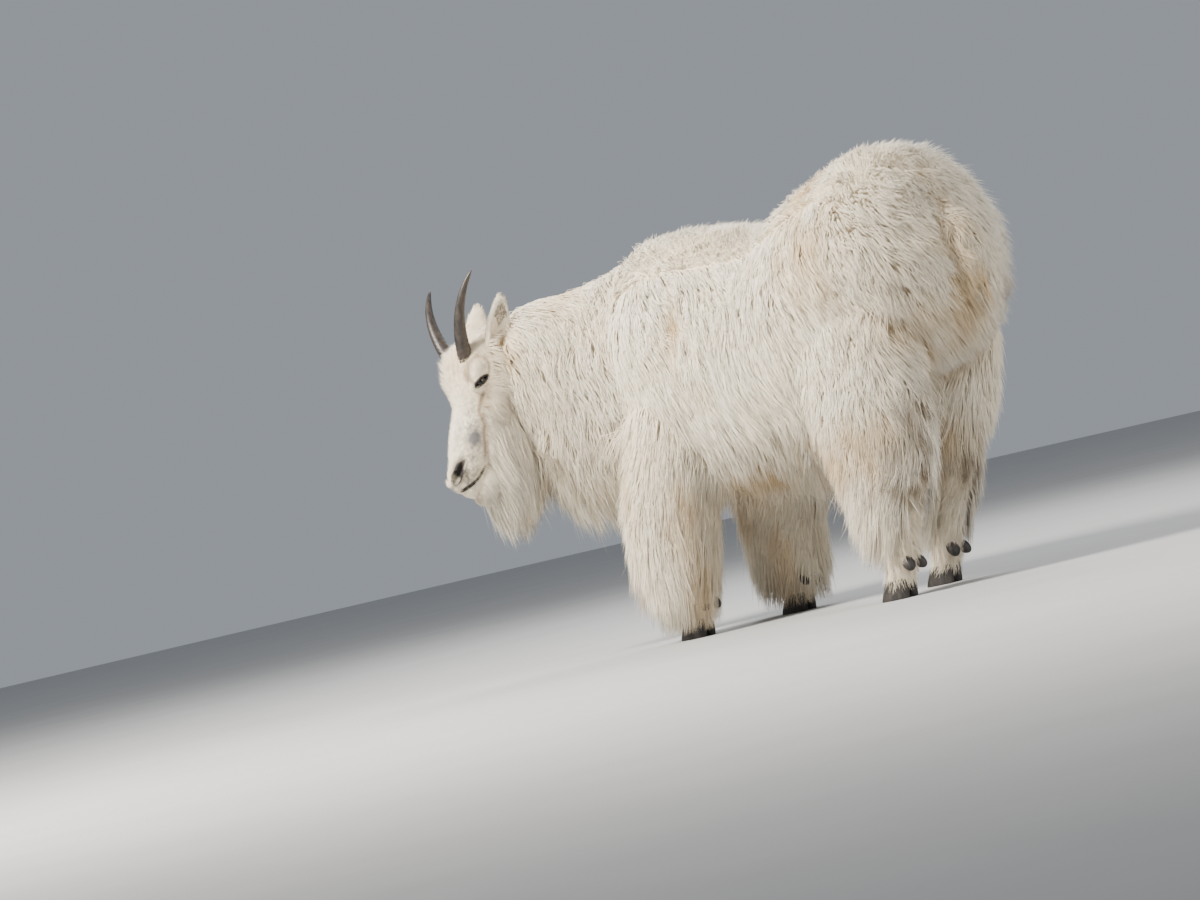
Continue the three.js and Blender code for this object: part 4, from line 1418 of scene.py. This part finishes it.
@dataclass(frozen=True)
class Hoof:
    """One toe's horn shoe and its dewclaw. Sizes are in millimetres."""

    length: float = 74
    width: float = 34
    height: float = 44
    shrink: float = 0.24
    point: float = 0.22
    lean: float = 13
    splay: float = 0.1

    def toe(self, foot: Foot, outward: int, name: str) -> bpy.types.Object:
        """Shapes one toe, with a rounded rim, growth ridges and a flat sole."""
        deselect_all()
        bpy.ops.mesh.primitive_cylinder_add(vertices=48, radius=1, depth=1, location=(0, 0, 0.5))
        toe = bpy.context.object
        bpy.ops.object.transform_apply(location=True)
        bpy.ops.object.mode_set(mode="EDIT")
        bpy.ops.mesh.select_all(action="SELECT")
        for level in np.linspace(0.04, 0.97, 22):
            bpy.ops.mesh.select_all(action="SELECT")
            bpy.ops.mesh.bisect(plane_co=(0, 0, float(level)), plane_no=(0, 0, 1))
        bpy.ops.object.mode_set(mode="OBJECT")
        for vertex in toe.data.vertices:
            vertex.co = self.shaped(foot, outward, vertex.co)
        bpy.ops.object.shade_smooth_by_angle(angle=math.radians(50))
        toe.name = name
        return toe

    def shaped(self, foot: Foot, outward: int, p: Vector) -> Vector:
        """Moves one point of the upright unit cylinder to its place on the toe."""
        height = max(0.0, min(1.0, p.z))
        angle = math.atan2(p.y, p.x)
        rim = 1 - 0.035 * max(0.0, 1 - height / 0.05) - 0.10 * max(0.0, (height - 0.93) / 0.07)
        ridge = 1 + 0.007 * math.sin(height * 44 + math.cos(angle))
        shrink = math.hypot(p.x, p.y) * (1 - self.shrink * height**1.5) * rim * ridge
        point = 1 - self.point * max(0.0, math.cos(angle))
        ahead = math.cos(angle) * self.length / 2 * shrink - self.lean * height
        across = math.sin(angle) * self.width / 2 * shrink * point + outward * (self.width / 2 + 0.3)
        turn = outward * self.splay
        x = foot.ahead + 12 + ahead * math.cos(turn) - across * math.sin(turn)
        y = foot.left + ahead * math.sin(turn) + across * math.cos(turn)
        return Vector((x, y, height * self.height)) * MM

    def dewclaw(self, foot: Foot, outward: int, name: str) -> bpy.types.Object:
        """Shapes one blunt dewclaw behind the fetlock."""
        aim = unit(np.array([-0.62, outward * 0.3, -0.72]))
        behind = 48 if foot.fore else 56
        centre = np.array([foot.ahead - behind + 5, foot.left + outward * 17, 76]) * MM
        across = unit(np.cross(aim, np.array(UP)))
        axes = np.stack([across, np.cross(aim, across), aim], axis=1)
        claw = add_ball(tuple(centre), (0.0145, 0.0135, 0.022), axes, 32, 20)
        bpy.ops.object.transform_apply(location=True, rotation=True, scale=True)
        only(claw)
        bpy.ops.object.shade_smooth()
        claw.name = name
        return claw


@dataclass(frozen=True)
class Eye:
    """One eyeball with its clear bulge. Sizes are in millimetres."""

    radius: float = 17
    spacing: float = 56
    bulge: float = 1.0

    def aim(self, side: Side) -> np.ndarray:
        """The way the eye looks."""
        return np.array(HEAD.way(0.22, side.value * 0.96, 0.16))

    def build(self, side: Side) -> bpy.types.Object:
        """Shapes the ball and lets its clear front stand out."""
        centre = np.array(HEAD.point(0, side.value * self.spacing, 0))
        ball = add_ball(tuple(centre), (self.radius * MM,) * 3, HEAD.axes, 48, 32)
        bpy.ops.object.transform_apply(location=True, rotation=True, scale=True)
        aim = self.aim(side)
        for vertex in ball.data.vertices:
            out = unit(np.array(vertex.co) - centre)
            front = max(0.0, (float(out @ aim) - 0.72) / 0.28)
            vertex.co = centre + out * (self.radius + self.bulge * front**0.7) * MM
        only(ball)
        bpy.ops.object.shade_smooth()
        ball.name = f"eye_{side.word}_ball"
        return ball


class Recipe:
    """A material's nodes, added one by one."""

    def __init__(self, name: str, roughness: float, constants: dict[str, float] | None = None) -> None:
        """Starts a material with constants on the shader's own sockets."""
        self.material = bpy.data.materials.new(name)
        self.material.use_nodes = True
        self.tree = self.material.node_tree
        self.shader = self.tree.nodes["Principled BSDF"]
        self.shader.inputs["Roughness"].default_value = roughness
        for socket, value in (constants or {}).items():
            self.shader.inputs[socket].default_value = value

    def node(
        self, kind: str, inputs: dict[str | int, object] | None = None, **settings: object
    ) -> bpy.types.Node:
        """Adds a node.

        Args:
            kind: The node's type.
            inputs: A value or another node's socket for each of its sockets.
            settings: The node's own settings.

        Returns:
            The new node.
        """
        node = self.tree.nodes.new(kind)
        for name, value in settings.items():
            setattr(node, name, value)
        for socket, value in (inputs or {}).items():
            if isinstance(value, bpy.types.NodeSocket):
                self.tree.links.new(value, node.inputs[socket])
            else:
                node.inputs[socket].default_value = value
        return node

    def coordinates(self) -> bpy.types.NodeSocket:
        """The object's own coordinates."""
        return self.node("ShaderNodeTexCoord").outputs["Object"]

    def noise(self, scale: float, detail: float = 3.0, stretch: Triple = (1, 1, 1)) -> bpy.types.NodeSocket:
        """A noise on the object's own coordinates."""
        spot = self.node("ShaderNodeMapping", {0: self.coordinates(), "Scale": stretch}).outputs[0]
        inputs = {"Vector": spot, "Scale": scale, "Detail": detail}
        return self.node("ShaderNodeTexNoise", inputs).outputs["Fac"]

    def ramp(
        self, value: bpy.types.NodeSocket, stops: Iterable[tuple[float, Triple]]
    ) -> bpy.types.NodeSocket:
        """Turns a value into a colour through stops of place and colour."""
        node = self.node("ShaderNodeValToRGB", {0: value})
        elements = node.color_ramp.elements
        for index, (place, colour) in enumerate(stops):
            element = elements[index] if index < 2 else elements.new(place)
            element.position, element.color = place, (*colour, 1)
        return node.outputs["Color"]

    def multiply(self, a: bpy.types.NodeSocket, b: bpy.types.NodeSocket) -> bpy.types.NodeSocket:
        """Multiplies two colours."""
        node = self.node("ShaderNodeMix", {0: 1.0, 6: a, 7: b}, data_type="RGBA", blend_type="MULTIPLY")
        return node.outputs[2]

    def colour(self, socket: bpy.types.NodeSocket) -> None:
        """Gives the shader its colour."""
        self.tree.links.new(socket, self.shader.inputs["Base Color"])

    def bump(self, height: bpy.types.NodeSocket, strength: float, distance: float) -> None:
        """Gives the shader its bump."""
        inputs = {"Height": height, "Strength": strength, "Distance": distance}
        node = self.node("ShaderNodeBump", inputs)
        self.tree.links.new(node.outputs[0], self.shader.inputs["Normal"])


@dataclass(frozen=True)
class HairFinish:
    """Soft cream hair in the colours that each strand carries."""

    name: str = "winter_hair"
    roughness: float = 0.7

    def make(self) -> bpy.types.Material:
        """Builds the material."""
        recipe = Recipe(
            self.name,
            self.roughness,
            {"Sheen Weight": 0.25, "Sheen Roughness": 0.5, "Specular IOR Level": 0.3},
        )
        tint = recipe.node("ShaderNodeAttribute", attribute_name="tint").outputs["Color"]
        mottle = recipe.ramp(recipe.noise(70.0), ((0.3, (0.9, 0.88, 0.84)), (0.7, (1.0, 1.0, 1.0))))
        recipe.colour(recipe.multiply(tint, mottle))
        return recipe.material


@dataclass(frozen=True)
class HideFinish:
    """The skin under the coat: short hair as a fine bump, in the coat's colours."""

    name: str = "short_hide"
    roughness: float = 0.75

    def make(self) -> bpy.types.Material:
        """Builds the material."""
        recipe = Recipe(self.name, self.roughness, {"Sheen Weight": 0.15, "Specular IOR Level": 0.3})
        tint = recipe.node("ShaderNodeAttribute", attribute_name="tint").outputs["Color"]
        mottle = recipe.ramp(recipe.noise(240.0), ((0.3, (0.84, 0.82, 0.78)), (0.7, (1.0, 1.0, 1.0))))
        recipe.colour(recipe.multiply(tint, mottle))
        recipe.bump(recipe.noise(900.0, 2.0, (1, 1, 0.35)), 0.5, 0.001)
        return recipe.material


@dataclass(frozen=True)
class HornFinish:
    """Near-black horn with brown streaks and a dull gloss."""

    name: str = "black_horn"
    dark: Triple = (0.012, 0.010, 0.009)
    brown: Triple = (0.055, 0.041, 0.03)

    def make(self) -> bpy.types.Material:
        """Builds the material."""
        recipe = Recipe(self.name, 0.42, {"Coat Weight": 0.12, "Coat Roughness": 0.35})
        streaks = recipe.noise(95.0, 6.0, (1, 1, 0.3))
        recipe.colour(recipe.ramp(streaks, ((0.35, self.dark), (0.75, self.brown))))
        rough = recipe.ramp(recipe.noise(150.0), ((0.3, (0.36,) * 3), (0.7, (0.58,) * 3)))
        recipe.tree.links.new(rough, recipe.shader.inputs["Roughness"])
        recipe.bump(recipe.noise(600.0, 4.0, (1, 1, 0.25)), 0.35, 0.0008)
        return recipe.material


@dataclass(frozen=True)
class HoofFinish:
    """Dark hoof horn with fine streaks, scuffed and dusty."""

    name: str = "dark_hoof"
    dark: Triple = (0.012, 0.010, 0.009)
    dust: Triple = (0.05, 0.042, 0.034)

    def make(self) -> bpy.types.Material:
        """Builds the material."""
        recipe = Recipe(self.name, 0.6)
        scuffs = recipe.noise(90.0, 6.0, (1, 1, 0.25))
        recipe.colour(recipe.ramp(scuffs, ((0.42, self.dark), (0.78, self.dust))))
        recipe.bump(recipe.noise(400.0, 5.0, (1, 1, 0.3)), 0.5, 0.001)
        return recipe.material


@dataclass(frozen=True)
class EyeFinish:
    """A dark eye: a long level pupil in a brown ring, under a clear wet front."""

    name: str = "eye"
    pupil: Triple = (0.003, 0.003, 0.003)
    ring: Triple = (0.016, 0.009, 0.005)
    edge: Triple = (0.012, 0.008, 0.006)

    def make(self, centre: Vector, aim: Vector, side: Side) -> bpy.types.Material:
        """Builds the material.

        Args:
            centre: The eye's centre in the frame's axes.
            aim: The way it looks, in the frame's axes.
            side: Which eye.

        Returns:
            The material.
        """
        wet = {"Coat Weight": 0.3, "Coat Roughness": 0.04, "Specular IOR Level": 0.25}
        recipe = Recipe(f"{self.name}_{side.word}", 0.08, wet)
        turn = aim.to_track_quat("Z", "Y").inverted().to_euler()
        shifted = recipe.node(
            "ShaderNodeVectorMath", {0: recipe.coordinates(), 1: tuple(-centre)}, operation="ADD"
        ).outputs[0]
        local = recipe.node("ShaderNodeMapping", {0: shifted, "Rotation": turn}).outputs[0]
        flat = recipe.node("ShaderNodeMapping", {0: local, "Scale": (100, 100, 0)}).outputs[0]
        length = recipe.node("ShaderNodeVectorMath", {0: flat}, operation="LENGTH").outputs["Value"]
        stops = (
            (0.0, self.pupil), (0.42, self.pupil), (0.55, self.ring), (0.95, self.ring), (1.0, self.edge)
        )
        recipe.colour(recipe.ramp(length, stops))
        return recipe.material


@dataclass(frozen=True)
class FloorFinish:
    """A plain pale matt floor."""

    pale: Triple = (0.46, 0.46, 0.46)

    def make(self) -> bpy.types.Material:
        """Builds the material."""
        recipe = Recipe("pale_floor", 0.9)
        darker = tuple(0.94 * c for c in self.pale)
        recipe.colour(recipe.ramp(recipe.noise(3.0), ((0.3, darker), (0.7, self.pale))))
        return recipe.material


@dataclass(frozen=True)
class Studio:
    """The floor, the lights and the camera, which stands behind the goat on its left."""

    distance: float = 12.0
    width: float = 2.727
    roll: float = math.radians(13)
    azimuth: float = math.radians(45)
    aim: Triple = (0.411, 0.311, 0.470)

    def build(self, row: RowFrame) -> None:
        """Adds the floor, the lights and the camera."""
        deselect_all()
        bpy.ops.mesh.primitive_circle_add(vertices=128, radius=14.0, fill_type="NGON", location=(0, 0, 0))
        floor = bpy.context.object
        floor.name = "floor"
        floor.data.materials.append(FloorFinish().make())
        self.light(row)
        self.camera(row)

    def axes(self) -> tuple[Vector, Vector, Vector]:
        """The picture's right, its up and the way to the camera, without the roll."""
        level = Vector((math.cos(self.azimuth), math.sin(self.azimuth), 0))
        return level, Vector(UP), Vector((math.sin(self.azimuth), -math.cos(self.azimuth), 0))

    def camera(self, row: RowFrame) -> None:
        """Adds the camera and makes it the scene's."""
        level, upright, back = self.axes()
        right = level * math.cos(self.roll) - upright * math.sin(self.roll)
        up = level * math.sin(self.roll) + upright * math.cos(self.roll)
        data = bpy.data.cameras.new("camera")
        data.sensor_width = 36.0
        data.lens = data.sensor_width * self.distance / self.width
        camera = bpy.data.objects.new("camera", data)
        bpy.context.scene.collection.objects.link(camera)
        place = row.place(self.aim) + back * self.distance
        turn = Matrix((right, up, back)).transposed().to_4x4()
        camera.matrix_world = Matrix.Translation(place) @ turn
        bpy.context.scene.camera = camera

    def light(self, row: RowFrame) -> None:
        """Adds a soft key light from the front left, two fill lights and an even surround."""
        level, upright, back = self.axes()
        middle = row.place((0.0, 0.0, 0.55))
        lights = (
            ("key", -level * 3.1 + back * 1.9 + upright * 2.7, 1.5, 640, (1.0, 0.94, 0.86)),
            ("fill", level * 3.0 + back * 3.0 + upright * 1.6, 3.0, 120, (1.0, 0.98, 0.96)),
            ("rim", level * 0.5 - back * 3.0 + upright * 3.0, 2.5, 160, (1.0, 1.0, 1.0)),
        )
        for name, way, size, power, colour in lights:
            data = bpy.data.lights.new(name, "AREA")
            data.shape, data.size, data.energy, data.color = "DISK", size, power, colour
            lamp = bpy.data.objects.new(name, data)
            bpy.context.scene.collection.objects.link(lamp)
            lamp.location = middle + way
            lamp.rotation_euler = way.to_track_quat("Z", "Y").to_euler()
        world = bpy.data.worlds.new("surround")
        world.use_nodes = True
        background = world.node_tree.nodes["Background"]
        background.inputs["Color"].default_value = (0.36, 0.39, 0.43, 1)
        background.inputs["Strength"].default_value = 0.85
        bpy.context.scene.world = world


@dataclass
class Goat:
    """The whole animal."""

    row: RowFrame
    markings: Markings = field(default_factory=Markings)
    skin: Skin = field(default_factory=Skin)
    horn: Horn = field(default_factory=Horn)
    hoof: Hoof = field(default_factory=Hoof)
    eye: Eye = field(default_factory=Eye)

    def keep(self, obj: bpy.types.Object, material: bpy.types.Material, slot: str, *nodes: str) -> None:
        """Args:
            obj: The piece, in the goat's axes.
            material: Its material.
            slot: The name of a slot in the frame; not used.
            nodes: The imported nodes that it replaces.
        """
        obj.data.transform(self.row.matrix)
        obj.data.update()
        obj.data.materials.clear()
        obj.data.materials.append(material)
        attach(obj, "root")
        if nodes:
            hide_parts(*nodes)
        log.info("%s: %d faces", obj.name, len(obj.data.polygons))

    def flesh(self) -> list[str]:
        """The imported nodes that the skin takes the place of."""
        names = ["head", "neck", "torso", "tail"]
        for side in Side:
            names += [f"ear_{side.word}", f"foreleg_upper_{side.word}", f"hind_thigh_{side.word}"]
            names += [f"foreleg_shank_{side.word}", f"hindleg_shank_{side.word}"]
        return names

    def build_hide(self) -> None:
        """Builds the skin and the coat over it."""
        body = self.skin.build()
        mesh = body.data
        places = np.empty(len(mesh.vertices) * 3)
        mesh.vertices.foreach_get("co", places)
        places = places.reshape(-1, 3)
        tint = np.ones((len(places), 4))
        tint[:, :3] = np.clip(self.markings.skin(places), 0, 1)
        mesh.attributes.new("tint", "FLOAT_COLOR", "POINT").data.foreach_set("color", tint.reshape(-1))
        outline = self.skin.tips()
        coat = Coat(self.skin, mesh, outline, self.markings)
        bpy.data.objects.remove(outline)
        self.keep(body, HideFinish().make(), "winter_coat", *self.flesh())
        hair, short = HairFinish().make(), HairFinish("short_hair", 0.75).make()
        thin = 1.0
        for zone in Zone:
            piece = coat.piece(zone, thin)
            is_short = zone in (Zone.FACE, Zone.CHEEKS, Zone.EARS, Zone.SHANKS)
            self.keep(piece, short if is_short else hair, "short_hair" if is_short else "winter_coat")

    def build_horn_and_hoof(self) -> None:
        """Builds the horns, the hooves and the dewclaws."""
        horn_finish, hoof_finish = HornFinish().make(), HoofFinish().make()
        for side in Side:
            self.keep(self.horn.build(side), horn_finish, "horn_sheath", f"horn_{side.word}")
        for foot in FEET:
            for where, outward in (("outer", foot.side), ("inner", -foot.side)):
                node = f"{foot.name}_{where}"
                toe = self.hoof.toe(foot, outward, f"toe_{node}")
                self.keep(toe, hoof_finish, "hoof_horn", f"hoof_{node}")
                claw = self.hoof.dewclaw(foot, outward, f"claw_{node}")
                self.keep(claw, hoof_finish, "hoof_horn", f"dewclaw_{node}")

    def build_eyes(self) -> None:
        """Builds the eyes."""
        turn = self.row.matrix.to_3x3()
        for side in Side:
            centre = self.row.place(HEAD.point(0, side.value * self.eye.spacing, 0))
            aim = turn @ Vector(self.eye.aim(side))
            finish = EyeFinish().make(centre, aim, side)
            self.keep(self.eye.build(side), finish, "eye", f"eye_{side.word}")

    def build(self) -> None:
        """Builds every piece."""
        self.build_hide()
        self.build_horn_and_hoof()
        self.build_eyes()


def main() -> None:
    """Builds the goat and its studio, and reports each piece."""
    logging.basicConfig(level=logging.INFO, format="%(message)s")
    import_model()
    row = RowFrame.from_eyes()
    Goat(row).build()
    Studio().build(row)


if __name__ == "__main__":
    main()
